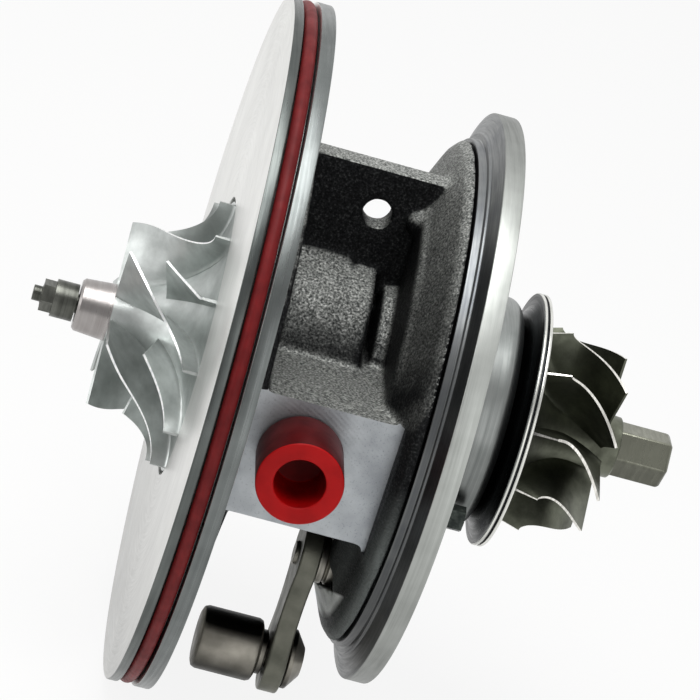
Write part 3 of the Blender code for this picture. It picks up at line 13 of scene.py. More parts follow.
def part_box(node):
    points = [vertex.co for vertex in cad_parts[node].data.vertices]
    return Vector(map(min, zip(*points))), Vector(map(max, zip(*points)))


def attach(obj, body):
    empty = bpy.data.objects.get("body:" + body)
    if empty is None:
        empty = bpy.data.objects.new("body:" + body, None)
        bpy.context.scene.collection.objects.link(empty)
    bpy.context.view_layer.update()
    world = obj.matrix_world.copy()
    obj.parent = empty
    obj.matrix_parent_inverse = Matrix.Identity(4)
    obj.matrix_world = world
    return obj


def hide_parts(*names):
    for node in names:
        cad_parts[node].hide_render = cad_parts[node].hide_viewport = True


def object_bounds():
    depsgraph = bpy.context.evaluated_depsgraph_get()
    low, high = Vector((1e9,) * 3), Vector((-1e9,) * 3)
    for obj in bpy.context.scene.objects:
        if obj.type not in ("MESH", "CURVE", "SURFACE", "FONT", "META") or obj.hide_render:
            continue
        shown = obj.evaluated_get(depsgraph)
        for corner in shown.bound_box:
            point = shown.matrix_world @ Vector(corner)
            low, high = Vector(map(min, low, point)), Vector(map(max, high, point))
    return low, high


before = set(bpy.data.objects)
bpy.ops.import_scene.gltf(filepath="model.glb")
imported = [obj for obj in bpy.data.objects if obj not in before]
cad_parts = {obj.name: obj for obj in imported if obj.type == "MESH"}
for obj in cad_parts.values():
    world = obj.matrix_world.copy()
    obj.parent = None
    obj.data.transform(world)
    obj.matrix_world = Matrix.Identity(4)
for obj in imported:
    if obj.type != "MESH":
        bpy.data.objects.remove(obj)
CAD_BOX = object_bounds()

MM = 0.001
WHITE = (1.0, 1.0, 1.0, 1.0)
ROUND_STEPS = 160
SHARP_EDGE = math.radians(32.0)
TOUCHING = 1e-6
FLAT_CORNER = math.radians(150.0)
LINK_SWEEP = math.radians(200.0)
ON_SHAFT = Matrix.Identity(4)

# Where the casting ends, is milled or turned, or differs from its node, in millimetres
PAD_FACE_Y = -36.7
PAD_RIGHT_X = -9.1
PAD_LOW_Z = -13.3
PAD_TOP_Z = 8.9
PAD_STOCK_END_X = -8.0
PAD_HALF_HEIGHT = 14.0
DRAIN_FACE_Y = 37.0
RECESS_FLOOR_X = -3.0
RING_START_X = -6.3
RING_INNER_RADIUS = 41.0
NOSE_RADIUS = 19.7
MILLING_STOCK = 1.2
SPINDLE_YZ = (-16.0, -25.9)
POCKET_RADIUS = 9.2
POCKET_WALL_BELOW = 4.3
POCKET_WALL_NORMAL = (0.388, 0.922)
POCKET_WALL_SPAN = (-14.0, -7.0)
CONE_EDGE = (-12.4, 32.5)
CONE_RIM = (-6.6, 42.9)
LUMP_PLACE = (-12.4, -5.4, 30.6)
LUMP_RADIUS = 2.0
CONE_CORE_RADIUS = 18.0
BARREL_START_X = -30.0
BARREL_END = (-16.4, 21.6)
BARREL_CORE_RADIUS = 14.0
NECK = (-14.9, 12.5)
GROOVE_LOW_Z = 9.3
GROOVE_OUTER_RADIUS = 26.0
WEB_SIDES_Y = (-4.7, 0.7)
BORE_KEEP_RADIUS = 12.2
SPINDLE_KEEP_RADIUS = 5.5
CUTTER_REACH = 60.0
CASTING_VOXEL = 0.45
CASTING_SMOOTHING = 9
CASTING_THINNING = 0.52

# Where the casting's skin gets painted light from above, painted shade in its recesses, rubbed ring streaks
# and a painted pool of light, in millimetres
PAINTED_LIGHT_DIRECTION = (-0.35, 0.10, 0.93)
PAINTED_SHADE_REACH = 3.0
WIPED_HEIGHTS = (-12.0, 2.0)
WIPED_RADII = (32.0, 35.0)
STREAK_RADII = (33.0, 45.0)
PAINTED_PATCH_HEIGHTS = (-23.5, -20.0)
PAINTED_PATCH_RADII = (38.4, 39.6)

# Where a turned or moulded piece changes its finish or its painted shade, in millimetres
BAND_END_X = -3.4
LIP_RADIUS = 54.0
RIM_MIDDLE_X = -38.0
BEAD_RADIUS = 21.45
WHEEL_NOSE_X = -55.5
PLUG_BORE_RADIUS = 4.0
PLUG_MOUTH_CUT = 1.2

# Wheels
TURBINE = {"blades": 10, "start": 125.8, "wrap": 32.0, "power": 1.8, "thickness": 0.90,
           "rows": 30, "spans": 14, "tip": 0.50, "inlet": 0.5, "turned_inlet": True}
COMPRESSOR = {"blades": 6, "start": 117.0, "wrap": 56.0, "power": 1.7, "thickness": 0.60,
              "rows": 34, "spans": 14, "tip": 0.35, "inlet": 1.0, "turned_inlet": False}
ROOT_DEPTH = 0.12
ROOT_FLARE = 0.75
ROOT_FLARE_SPAN = 0.16
INLET_TAPER_SHARE = 0.15

# Camera: a long lens, raised 22 degrees and tilted
CAMERA_LENS = 175.516
CAMERA_SENSOR = 36.0
CAMERA_PLACE = ((0.95822287, -0.25837705, -0.12267950, -0.08521505),
                (-0.01448957, 0.38451406, -0.92300540, -0.51948214),
                (0.28565541, 0.88622242, 0.36470640, 0.20988439),
                (0.0, 0.0, 0.0, 1.0))


def srgb(code):
    """Linear colour from an sRGB hex code."""
    channels = [int(code[start:start + 2], 16) / 255.0 for start in (1, 3, 5)]
    linear = [c / 12.92 if c <= 0.04045 else ((c + 0.055) / 1.055) ** 2.4 for c in channels]
    return (*linear, 1.0)


# Materials


def add(tree, kind, settings=None, inputs=None):
    """Add a node, set its options, and fill or link its inputs."""
    node = tree.nodes.new(kind)
    for key, value in (settings or {}).items():
        setattr(node, key, value)
    for key, value in (inputs or {}).items():
        if isinstance(value, bpy.types.NodeSocket):
            tree.links.new(value, node.inputs[key])
        else:
            node.inputs[key].default_value = value
    return node


def new_material(name, **shader):
    """A material with one Principled shader; keywords are its socket names with _ for spaces."""
    material = bpy.data.materials.new(name)
    material.use_nodes = True
    tree = material.node_tree
    tree.nodes.clear()
    inputs = {key.replace("_", " "): value for key, value in shader.items()}
    principled = add(tree, "ShaderNodeBsdfPrincipled", inputs=inputs)
    add(tree, "ShaderNodeOutputMaterial", inputs={"Surface": principled.outputs["BSDF"]})
    return material, tree, principled


def millimetres(tree):
    """The piece's own coordinates, in millimetres."""
    place = add(tree, "ShaderNodeTexCoord")
    scaled = add(tree, "ShaderNodeVectorMath", {"operation": "SCALE"},
                 {0: place.outputs["Object"], "Scale": 1.0 / MM})
    return scaled.outputs[0]


def maths(tree, operation, *values):
    """Result of a math node."""
    return add(tree, "ShaderNodeMath", {"operation": operation}, dict(enumerate(values))).outputs[0]


def times(tree, first, second):
    """Product of two values."""
    return maths(tree, "MULTIPLY", first, second)


def vector_maths(tree, operation, first, second):
    """Outputs of a vector math node: the vector first, then the value."""
    return add(tree, "ShaderNodeVectorMath", {"operation": operation}, {0: first, 1: second}).outputs


def component(tree, vector, axis):
    """One component of a vector."""
    return add(tree, "ShaderNodeSeparateXYZ", inputs={0: vector}).outputs[axis]


def lathe_coordinates(tree, stretch=0.04, axis=(0.0, 0.0)):
    """Place along an axis at a (y, z) place, radius and a slow drift, for marks that run round the axis."""
    moved = vector_maths(tree, "SUBTRACT", millimetres(tree), (0.0, *axis))[0]
    along, across, up = (component(tree, moved, letter) for letter in "XYZ")
    radius = maths(tree, "SQRT", maths(tree, "ADD", times(tree, across, across), times(tree, up, up)))
    drift = times(tree, across, stretch)
    return add(tree, "ShaderNodeCombineXYZ", inputs={
        "X": maths(tree, "ADD", along, drift), "Y": radius, "Z": drift}).outputs[0]


def noise(tree, vector, scale, detail=3.0, roughness=0.5):
    """Value of a noise whose scale is in features to the millimetre."""
    node = add(tree, "ShaderNodeTexNoise", inputs={
        "Vector": vector, "Scale": scale, "Detail": detail, "Roughness": roughness})
    return node.outputs["Fac"]


def ramp(tree, value, stops):
    """Colour ramp from (place, hex) stops."""
    node = add(tree, "ShaderNodeValToRGB", inputs={"Fac": value})
    elements = node.color_ramp.elements
    while len(elements) < len(stops):
        elements.new(0.5)
    for element, (place, code) in zip(elements, stops):
        element.position = place
        element.color = srgb(code)
    return node.outputs["Color"]


def spread(tree, value, low, high, start=0.3, end=0.7):
    """Stretch a noise value to a range of numbers."""
    node = add(tree, "ShaderNodeMapRange", {"clamp": True}, {
        "Value": value, "From Min": start, "From Max": end, "To Min": low, "To Max": high})
    return node.outputs["Result"]


def bump(tree, height, depth, strength=1.0, normal=None):
    """Bump whose depth is in millimetres."""
    inputs = {"Height": height, "Distance": depth * MM, "Strength": strength}
    if normal is not None:
        inputs["Normal"] = normal
    return add(tree, "ShaderNodeBump", inputs=inputs).outputs["Normal"]


def feed(tree, principled, **links):
    """Link sockets to the shader's inputs by name."""
    for key, value in links.items():
        tree.links.new(value, principled.inputs[key.replace("_", " ")])


def blend_colours(tree, share, first, second, how="MIX"):
    """Mix two colours by a share."""
    node = add(tree, "ShaderNodeMix", {"data_type": "RGBA", "blend_type": how})
    for socket, value in zip((node.inputs[0], node.inputs[6], node.inputs[7]), (share, first, second)):
        if isinstance(value, bpy.types.NodeSocket):
            tree.links.new(value, socket)
        else:
            socket.default_value = value
    return node.outputs[2]


def facing(tree, direction=(0.0, 0.0, 1.0)):
    """How far the surface faces a direction, from -1 to 1."""
    normal = add(tree, "ShaderNodeNewGeometry").outputs["Normal"]
    return vector_maths(tree, "DOT_PRODUCT", normal, direction)[1]


def sand_cast_iron():
    """Grey cast iron: a near-black oxide skin with bright grains of about 0.3 mm, painted on as light where
    it faces up.

    Painted shade keeps the corners and recesses at the oxide colour. The cone's low side is rubbed in rings,
    and a painted pool of light lies below the lever's pocket.
    """
    material, tree, shader = new_material("sand_cast_iron", Metallic=0.6, Specular_IOR_Level=0.2)
    place = millimetres(tree)
    grain = noise(tree, place, 2.6, 2.0, 0.65)
    patches = noise(tree, place, 0.16, 3.0, 0.55)
    oxide = ramp(tree, grain, [(0.36, "#0c0d0e"), (0.56, "#1b1c1d"), (0.74, "#3c3d3d")])
    painted_lit_grain = ramp(tree, grain, [(0.34, "#484a49"), (0.46, "#7b7d7a"), (0.58, "#a0a29e"), (0.72, "#d0d1cd")])
    # Painted shade: ambient occlusion keeps recesses and corners at the dark oxide colour.
    painted_recess_shade = add(tree, "ShaderNodeAmbientOcclusion", {"samples": 8}, {"Distance": PAINTED_SHADE_REACH * MM})
    # Painted light: faces turned up get the bright grain.
    lean = maths(tree, "MULTIPLY_ADD", patches, 0.35, facing(tree, PAINTED_LIGHT_DIRECTION))
    share = times(tree, spread(tree, lean, 0.0, 1.0, 0.55, 1.05),
                  spread(tree, painted_recess_shade.outputs["AO"], 0.0, 1.0, 0.30, 0.72))
    cast = blend_colours(tree, share, oxide, painted_lit_grain)

    rings = lathe_coordinates(tree, 0.02)
    height = component(tree, place, "Z")
    radius = component(tree, rings, "Y")
    wander = maths(tree, "MULTIPLY_ADD", noise(tree, rings, 0.5, 3.0, 0.6), 2.4, radius)
    streaks = ramp(tree, spread(tree, wander, 0.0, 1.0, *STREAK_RADII), [
        (0.10, "#2a2d2d"), (0.35, "#474b4a"), (0.56, "#17191a"), (0.74, "#404443"), (0.92, "#696e6c")])
    wiped_and_lit_side = times(tree, spread(tree, height, 1.0, 0.0, *WIPED_HEIGHTS),
                  spread(tree, radius, 0.0, 0.85, *WIPED_RADII))
    # Painted light: a bright patch below the lever's pocket stands in for light falling there.
    across = vector_maths(tree, "DOT_PRODUCT", place, (0.0, *POCKET_WALL_NORMAL))[1]
    edge = sum(a * b for a, b in zip(SPINDLE_YZ, POCKET_WALL_NORMAL)) - POCKET_WALL_BELOW
    bright = times(tree, spread(tree, across, 1.0, 0.0, edge - 0.3, edge + 0.1),
                   spread(tree, radius, 1.0, 0.0, *PAINTED_PATCH_RADII))
    bright = times(tree, bright, spread(tree, height, 1.0, 0.0, *PAINTED_PATCH_HEIGHTS))
    painted_light_patch = ramp(tree, patches, [(0.35, "#c4c8c6"), (0.65, "#eceeec")])
    colour = blend_colours(tree, bright, blend_colours(tree, wiped_and_lit_side, cast, streaks), painted_light_patch)
    coarse = bump(tree, noise(tree, place, 0.9, 2.0, 0.5), 0.12, 0.5)
    feed(tree, shader, Base_Color=colour, Roughness=spread(tree, grain, 0.72, 0.42),
         Normal=bump(tree, grain, 0.16, 0.8, coarse))
    return material


def lathe_turned(name, light, dark, rough, ring_scale=3.0, depth=0.02, away_shade=1.0, low_shade=1.0,
                 axis=(0.0, 0.0), wiped_and_lit_side=(0.0, 0.0, 1.0)):
    """Metal turned on a lathe: fine rings round its axis and slow changes of tone.

    Painted shade darkens what faces away from a given lit side, and what lies low.
    """
    material, tree, shader = new_material(name, Metallic=1.0)
    rings = noise(tree, lathe_coordinates(tree, axis=axis), ring_scale, 4.0, 0.7)
    stain = noise(tree, millimetres(tree), 0.09, 3.0, 0.6)
    mixed = maths(tree, "MULTIPLY_ADD", stain, 0.55, times(tree, rings, 0.45))
    colour = ramp(tree, mixed, [(0.36, dark), (0.64, light)])
    # Painted shade on what faces away from the lit side.
    if away_shade < 1.0:
        painted_facing_shade = spread(tree, facing(tree, wiped_and_lit_side), away_shade, 1.0, -0.7, 0.8)
        colour = blend_colours(tree, 1.0, colour, painted_facing_shade, "MULTIPLY")
    # Painted shade, darker towards the bottom.
    if low_shade < 1.0:
        painted_low_shade = spread(tree, component(tree, millimetres(tree), "Z"), low_shade, 1.0, -45.0, 15.0)
        colour = blend_colours(tree, 1.0, colour, painted_low_shade, "MULTIPLY")
    feed(tree, shader, Base_Color=colour, Roughness=spread(tree, rings, rough + 0.08, rough - 0.06),
         Normal=bump(tree, rings, depth, 0.6))
    return material


def milled_iron():
    """Face-milled iron: bright grey, with faint arcs left by the cutter and open graphite specks."""
    material, tree, shader = new_material("milled_iron", Metallic=0.85)
    place = millimetres(tree)
    offset = vector_maths(tree, "ADD", place, (48.0, 0.0, 36.0))[0]
    arcs = add(tree, "ShaderNodeTexWave", {"wave_type": "RINGS", "rings_direction": "SPHERICAL"}, {
        "Vector": offset, "Scale": 0.55, "Distortion": 0.6, "Detail": 2.0})
    cloud = noise(tree, place, 0.12, 3.0, 0.6)
    speck = noise(tree, place, 3.0, 2.0, 0.5)
    colour = ramp(tree, cloud, [(0.34, "#94989c"), (0.66, "#b2b6b9")])
    dust = ramp(tree, speck, [(0.28, "#8c8d8e"), (0.42, "#ffffff")])
    feed(tree, shader, Base_Color=blend_colours(tree, 0.35, colour, dust, "MULTIPLY"),
         Roughness=spread(tree, cloud, 0.46, 0.36),
         Normal=bump(tree, arcs.outputs["Fac"], 0.012, 0.5))
    return material


def satin_cast(name, light, dark, rough, grain_depth=0.03, metallic=1.0):
    """Investment-cast metal after blasting: an even satin with a fine grain and soft clouds."""
    material, tree, shader = new_material(name, Metallic=metallic)
    place = millimetres(tree)
    cloud = noise(tree, place, 0.22, 4.0, 0.6)
    grain = noise(tree, place, 3.2, 2.0, 0.5)
    colour = ramp(tree, cloud, [(0.34, dark), (0.64, light)])
    feed(tree, shader, Base_Color=colour, Roughness=spread(tree, cloud, rough + 0.06, rough - 0.05),
         Normal=bump(tree, grain, grain_depth, 0.5))
    return material


def cut_edge(name, light, dark, rough=0.3):
    """A blade edge that was turned last: bright, with fine marks."""
    material, tree, shader = new_material(name, Metallic=1.0)
    marks = noise(tree, lathe_coordinates(tree), 4.0, 2.0, 0.5)
    feed(tree, shader, Base_Color=ramp(tree, marks, [(0.35, dark), (0.6, light)]),
         Roughness=spread(tree, marks, rough + 0.08, rough - 0.04))
    return material


def blackened_steel():
    """Heat-blackened steel with worn, lighter spots where it was handled."""
    material, tree, shader = new_material("blackened_steel", Metallic=0.85)
    place = millimetres(tree)
    wear = noise(tree, place, 0.6, 3.0, 0.6)
    colour = ramp(tree, wear, [(0.40, "#2c312f"), (0.60, "#474d49"), (0.76, "#767b75")])
    feed(tree, shader, Base_Color=colour, Roughness=spread(tree, wear, 0.52, 0.32),
         Normal=bump(tree, wear, 0.03, 0.6))
    return material


def oiled_forging(name, light, dark, painted_dark_top=False):
    """Forged lever steel with its oxide skin, oiled: olive grey, softly mottled; its top may get a painted
    dark reflection.
    """
    material, tree, shader = new_material(name, Metallic=0.8)
    place = millimetres(tree)
    skin = noise(tree, place, 0.3, 3.0, 0.45)
    grain = noise(tree, place, 2.2, 2.0, 0.5)
    colour = ramp(tree, skin, [(0.30, dark), (0.70, light)])
    # Painted reflection and shade: dark on the top, bright on the sides, darker on what faces down.
    if painted_dark_top:
        painted_facing_shade = ramp(tree, spread(tree, facing(tree), 0.0, 1.0, -1.0, 1.0),
                     [(0.25, "#6f6f6f"), (0.60, "#ffffff"), (0.80, "#f0f0f0"), (0.90, "#242420")])
        colour = blend_colours(tree, 1.0, colour, painted_facing_shade, "MULTIPLY")
    feed(tree, shader, Base_Color=colour, Roughness=spread(tree, skin, 0.48, 0.36),
         Normal=bump(tree, grain, 0.04, 0.6))
    return material


def silicone_ring():
    """Red silicone seal: soft satin, with a little dust in its colour."""
    material, tree, shader = new_material("red_silicone", Specular_IOR_Level=0.2)
    dust = noise(tree, millimetres(tree), 0.35, 4.0, 0.6)
    feed(tree, shader, Base_Color=ramp(tree, dust, [(0.30, "#5c0f12"), (0.70, "#74181a")]),
         Roughness=spread(tree, dust, 0.58, 0.44))
    return material


def black_rubber():
    """Nitrile rubber: near black and matt."""
    material, tree, shader = new_material("black_nitrile", Specular_IOR_Level=0.3)
    dust = noise(tree, millimetres(tree), 0.8, 3.0, 0.6)
    feed(tree, shader, Base_Color=ramp(tree, dust, [(0.35, "#141415"), (0.65, "#262627")]),
         Roughness=spread(tree, dust, 0.72, 0.58))
    return material


def moulded_polyethylene(name, light, dark, deep=False):
    """Injection-moulded polyethylene: clear red and slightly waxy; a deep bore gets painted shade under its
    roof.
    """
    material, tree, shader = new_material(name, IOR=1.51, Specular_IOR_Level=0.15)
    place = millimetres(tree)
    wax = noise(tree, place, 0.25, 3.0, 0.5)
    grain = noise(tree, place, 3.0, 2.0, 0.5)
    colour = ramp(tree, wax, [(0.35, dark), (0.65, light)])
    # Painted shade: what faces down in the bore is darkened.
    if deep:
        lit = spread(tree, facing(tree), 0.08, 1.0, -0.4, 0.7)
        colour = blend_colours(tree, 1.0, colour, lit, "MULTIPLY")
    feed(tree, shader, Base_Color=colour, Roughness=spread(tree, wax, 0.50, 0.40),
         Normal=bump(tree, grain, 0.015, 0.5))
    return material


# Meshes


def plain_object(name, data):
    """A linked object from a bmesh."""
    mesh = bpy.data.meshes.new(name)
    data.to_mesh(mesh)
    data.free()
    made = bpy.data.objects.new(name, mesh)
    bpy.context.scene.collection.objects.link(made)
    return made


def shade(piece):
    """Smooth shading that keeps the sharp edges."""
    piece.data.shade_smooth()
    piece.data.set_sharp_from_angle(angle=SHARP_EDGE)


def finish(name, data, materials, body, nodes=()):
    """Turn a bmesh into a finished piece that rides on its body and stands for its CAD nodes."""
    piece = plain_object(name, data)
    for material in materials:
        piece.data.materials.append(material)
    shade(piece)
    return settle(piece, body, nodes)


def share_faces(piece, materials, choose):
    """Add finishes to a piece; choose picks one by a face's middle, in millimetres, and its normal."""
    for material in materials:
        piece.data.materials.append(material)
    for face in piece.data.polygons:
        face.material_index = choose(face.center / MM, face.normal)


def break_edges(piece, width, segments, limit=30.0):
    """Bevel the edges that turn by more than a limit in degrees; the width is in millimetres."""
    bevel = piece.modifiers.new("broken_edges", "BEVEL")
    bevel.width = width * MM
    bevel.segments = segments
    bevel.limit_method = "ANGLE"
    bevel.angle_limit = math.radians(limit)


def settle(piece, body, nodes=()):
    """Ride on the body and hide the CAD nodes that the piece stands for."""
    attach(piece, body)
    if nodes:
        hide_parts(*nodes)
    return piece


def eased(profile, size, steps=3):
    """Round every corner of a closed profile that stands off the axis."""
    points = []
    for index, corner in enumerate(profile):
        here = Vector(corner)
        to_before = Vector(profile[index - 1]) - here
        to_after = Vector(profile[(index + 1) % len(profile)]) - here
        short = min(to_before.length, to_after.length) < TOUCHING
        if corner[1] <= 0.0 or short or to_before.angle(to_after) > FLAT_CORNER:
            points.append(tuple(here))
            continue
        reach = min(size, to_before.length * 0.45, to_after.length * 0.45)
        start = here + to_before.normalized() * reach
        end = here + to_after.normalized() * reach
        for step in range(steps + 1):
            share = step / steps
            first = start.lerp(here, share)
            second = here.lerp(end, share)
            points.append(tuple(first.lerp(second, share)))
    return points


def spun_bmesh(profile, steps, place=ON_SHAFT):
    """Turn a closed profile of (along, radius) points, in millimetres, into a closed bmesh."""
    data = bmesh.new()
    rings = []
    for step in range(steps):
        angle = math.tau * step / steps
        ring = []
        for along, radius in profile:
            point = Vector((along * MM, radius * MM * math.cos(angle), radius * MM * math.sin(angle)))
            ring.append(data.verts.new(place @ point))
        rings.append(ring)
    for step in range(steps):
        one, two = rings[step], rings[(step + 1) % steps]
        for index in range(len(profile)):
            after = (index + 1) % len(profile)
            if profile[index][1] <= 0.0 and profile[after][1] <= 0.0:
                continue
            data.faces.new([one[index], two[index], two[after], one[after]])
    bmesh.ops.remove_doubles(data, verts=data.verts, dist=1e-7)
    bmesh.ops.dissolve_degenerate(data, edges=data.edges, dist=1e-8)
    bmesh.ops.recalc_face_normals(data, faces=data.faces)
    return data


def turned(name, profile, material, body, nodes=(), ease=0.15, steps=ROUND_STEPS, place=ON_SHAFT):
    """A lathe-turned piece with eased corners."""
    return finish(name, spun_bmesh(eased(profile, ease), steps, place), [material], body, nodes)


def ring_section(x_centre, radius, thickness, steps=20):
    """Round section of a seal ring."""
    half = thickness / 2.0
    angles = [math.tau * step / steps for step in range(steps)]
    return [(x_centre + half * math.cos(angle), radius + half * math.sin(angle)) for angle in angles]


def merged_copy(node):
    """A bmesh copy of a CAD node with its loose triangles joined."""
    data = bmesh.new()
    data.from_mesh(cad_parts[node].data)
    bmesh.ops.remove_doubles(data, verts=data.verts, dist=1e-6)
    bmesh.ops.dissolve_limit(data, angle_limit=math.radians(0.5), verts=data.verts, edges=data.edges)
    return data


def bevelled_copy(name, node, material, body, width=0.2):
    """A CAD node's own shape with its edges broken."""
    piece = finish(name, merged_copy(node), [material], body, (node,))
    break_edges(piece, width, 2, 40.0)


# Housing


def apply_modifiers(piece):
    """Replace a piece's mesh by its evaluated one, and drop the modifiers."""
    graph = bpy.context.evaluated_depsgraph_get()
    mesh = bpy.data.meshes.new_from_object(piece.evaluated_get(graph))
    piece.modifiers.clear()
    old = piece.data
    piece.data = mesh
    bpy.data.meshes.remove(old)


def combine(piece, operation, *tools):
    """Join tools to a piece, cut them out or keep what they share with it, then remove them."""
    for tool in tools:
        step = piece.modifiers.new("combine", "BOOLEAN")
        step.operation = operation
        step.solver = "EXACT"
        step.object = tool
    apply_modifiers(piece)
    for tool in tools:
        bpy.data.objects.remove(tool, do_unlink=True)


def block_bmesh(low, high):
    """A box between two corners, in millimetres."""
    data = bmesh.new()
    bmesh.ops.create_cube(data, size=1.0)
    low, high = Vector(low) * MM, Vector(high) * MM
    for vert in data.verts:
        vert.co = Vector([low[i] + (high[i] - low[i]) * (vert.co[i] + 0.5) for i in range(3)])
    return data


def half_of(data, point, normal):
    """Keep the part of a closed bmesh that lies behind a plane; the point is in millimetres."""
    geometry = list(data.verts) + list(data.edges) + list(data.faces)
    cut = bmesh.ops.bisect_plane(data, geom=geometry, plane_co=Vector(point) * MM, plane_no=Vector(normal),
                                 clear_outer=True)
    rim = [item for item in cut["geom_cut"] if isinstance(item, bmesh.types.BMEdge)]
    bmesh.ops.holes_fill(data, edges=rim)
    bmesh.ops.recalc_face_normals(data, faces=data.faces)
    return data


def neck_groove(side):
    """The deep groove between barrel and cone, above the inlet block and on one side of the web."""
    ring = [(BARREL_END[0], NECK[1]), (BARREL_END[0], GROOVE_OUTER_RADIUS),
            (NECK[0], GROOVE_OUTER_RADIUS), NECK]
    data = half_of(spun_bmesh(ring, 128), (0.0, 0.0, GROOVE_LOW_Z), (0.0, 0.0, -1.0))
    web_y = WEB_SIDES_Y[0] if side < 0.0 else WEB_SIDES_Y[1]
    return plain_object("groove_tool", half_of(data, (0.0, web_y, 0.0), (0.0, -side, 0.0)))


def pocket_wall():
    """The cone's own wall below the spindle, which leaves the lever's pocket only a half round."""
    cone = spun_bmesh([(CONE_EDGE[0], CONE_CORE_RADIUS), CONE_EDGE, CONE_RIM,
                       (CONE_RIM[0], CONE_CORE_RADIUS)], 96)
    place = Matrix.Translation((0.0, SPINDLE_YZ[0] * MM, SPINDLE_YZ[1] * MM))
    radius = POCKET_RADIUS + 0.5
    left, right = POCKET_WALL_SPAN
    plug = spun_bmesh([(left, 0.0), (left, radius), (right, radius), (right, 0.0)], 64, place)
    normal = Vector((0.0, *POCKET_WALL_NORMAL))
    start = Vector((0.0, *SPINDLE_YZ)) - normal * POCKET_WALL_BELOW
    wall = plain_object("pocket_wall", half_of(plug, start, normal))
    combine(wall, "INTERSECT", plain_object("cone_tool", cone))
    return wall


def soften(casting):
    """Give the casting the fillets and soft corners that a sand mould leaves, but keep its bores."""
    remesh = casting.modifiers.new("sand", "REMESH")
    remesh.mode = "VOXEL"
    remesh.voxel_size = CASTING_VOXEL * MM
    apply_modifiers(casting)
    soft = casting.vertex_groups.new(name="cast")
    for vert in casting.data.vertices:
        place = vert.co / MM
        from_shaft = math.hypot(place.y, place.z)
        from_spindle = math.hypot(place.y - SPINDLE_YZ[0], place.z - SPINDLE_YZ[1])
        if from_shaft > BORE_KEEP_RADIUS and from_spindle > SPINDLE_KEEP_RADIUS:
            soft.add([vert.index], 1.0, "REPLACE")
    smooth = casting.modifiers.new("fillets", "SMOOTH")
    smooth.factor = 0.5
    smooth.iterations = CASTING_SMOOTHING
    smooth.vertex_group = "cast"
    thin = casting.modifiers.new("thinned", "DECIMATE")
    thin.ratio = CASTING_THINNING
    apply_modifiers(casting)


def housing_casting(iron, milled):
    """The sand casting: more cast on, grooves and seats cut in, softened, then milled on the oil pad."""
    data = merged_copy("bearing_housing")
    for vert in data.verts:
        at_face = vert.co.y < (PAD_FACE_Y + 0.05) * MM
        if at_face and vert.co.x < PAD_STOCK_END_X * MM and abs(vert.co.z) < PAD_HALF_HEIGHT * MM:
            vert.co.y -= MILLING_STOCK * MM
    casting = plain_object("housing_casting", data)
    lump = bmesh.new()
    bmesh.ops.create_icosphere(lump, subdivisions=3, radius=LUMP_RADIUS * MM,
                               matrix=Matrix.Translation(Vector(LUMP_PLACE) * MM))
    barrel = [(BARREL_START_X, BARREL_CORE_RADIUS), (BARREL_START_X, BARREL_END[1]), BARREL_END,
              (BARREL_END[0], BARREL_CORE_RADIUS)]
    combine(casting, "UNION", plain_object("cast_lump", lump), pocket_wall(),
            plain_object("barrel_skin", spun_bmesh(barrel, 128)))
    ring_x, nose_x = RING_START_X - 0.05, RECESS_FLOOR_X - 0.1
    ring_seat = [(ring_x, RING_INNER_RADIUS), (ring_x, CUTTER_REACH), (5.0, CUTTER_REACH),
                 (5.0, RING_INNER_RADIUS)]
    nose_seat = [(nose_x, 0.0), (nose_x, NOSE_RADIUS + 0.2), (15.0, NOSE_RADIUS + 0.2), (15.0, 0.0)]
    combine(casting, "DIFFERENCE", neck_groove(-1.0), neck_groove(1.0),
            plain_object("ring_tool", spun_bmesh(ring_seat, 96)),
            plain_object("nose_tool", spun_bmesh(nose_seat, 96)))
    soften(casting)
    pad = block_bmesh((-CUTTER_REACH, -CUTTER_REACH, PAD_LOW_Z), (PAD_RIGHT_X, PAD_FACE_Y, PAD_TOP_Z + 0.6))
    combine(casting, "DIFFERENCE", plain_object("pad_tool", pad))
    casting.vertex_groups.clear()
    casting.data.materials.clear()

    def is_milled(place, normal):
        on_pad = abs(place.y - PAD_FACE_Y) < 0.05 and normal.y < -0.98
        on_drain = place.y > DRAIN_FACE_Y - 0.2 and normal.y > 0.95
        in_recess = place.x > RECESS_FLOOR_X - 0.6 and normal.x > 0.2
        return int(on_pad or on_drain or in_recess)

    share_faces(casting, (iron, milled), is_milled)
    shade(casting)
    return settle(casting, "housing", ("bearing_housing",))


def housing_turnings(rim, band, nose):
    """The clamped ring and the nose, which are turned after casting."""
    ring = [(-5.9, 40.8), (-6.2, 43.3), (-4.9, 43.4), (-4.9, 44.6), (-4.5, 44.6), (-3.3, 48.4), (0.0, 48.4),
            (0.0, 41.0), (-3.05, 41.0), (-3.05, 40.8)]
    piece = turned("flange_ring", ring, rim, "housing", ("bearing_housing",), 0.18, 256)
    share_faces(piece, (band,), lambda place, normal: int(place.x < BAND_END_X and normal.x < 0.5))
    sleeve = [(-3.2, 6.8), (-3.2, 19.8), (-3.0, 19.7), (7.2, 19.7)]
    sleeve += [(7.2 + 2.6 * math.sin(math.radians(a)), 17.1 + 2.6 * math.cos(math.radians(a)))
               for a in range(10, 91, 10)]
    sleeve += [(9.8, 6.8)]
    finish("turbine_nose", spun_bmesh(sleeve, ROUND_STEPS), [nose], "housing",
           ("bearing_housing",))


# Plates, shield, rings


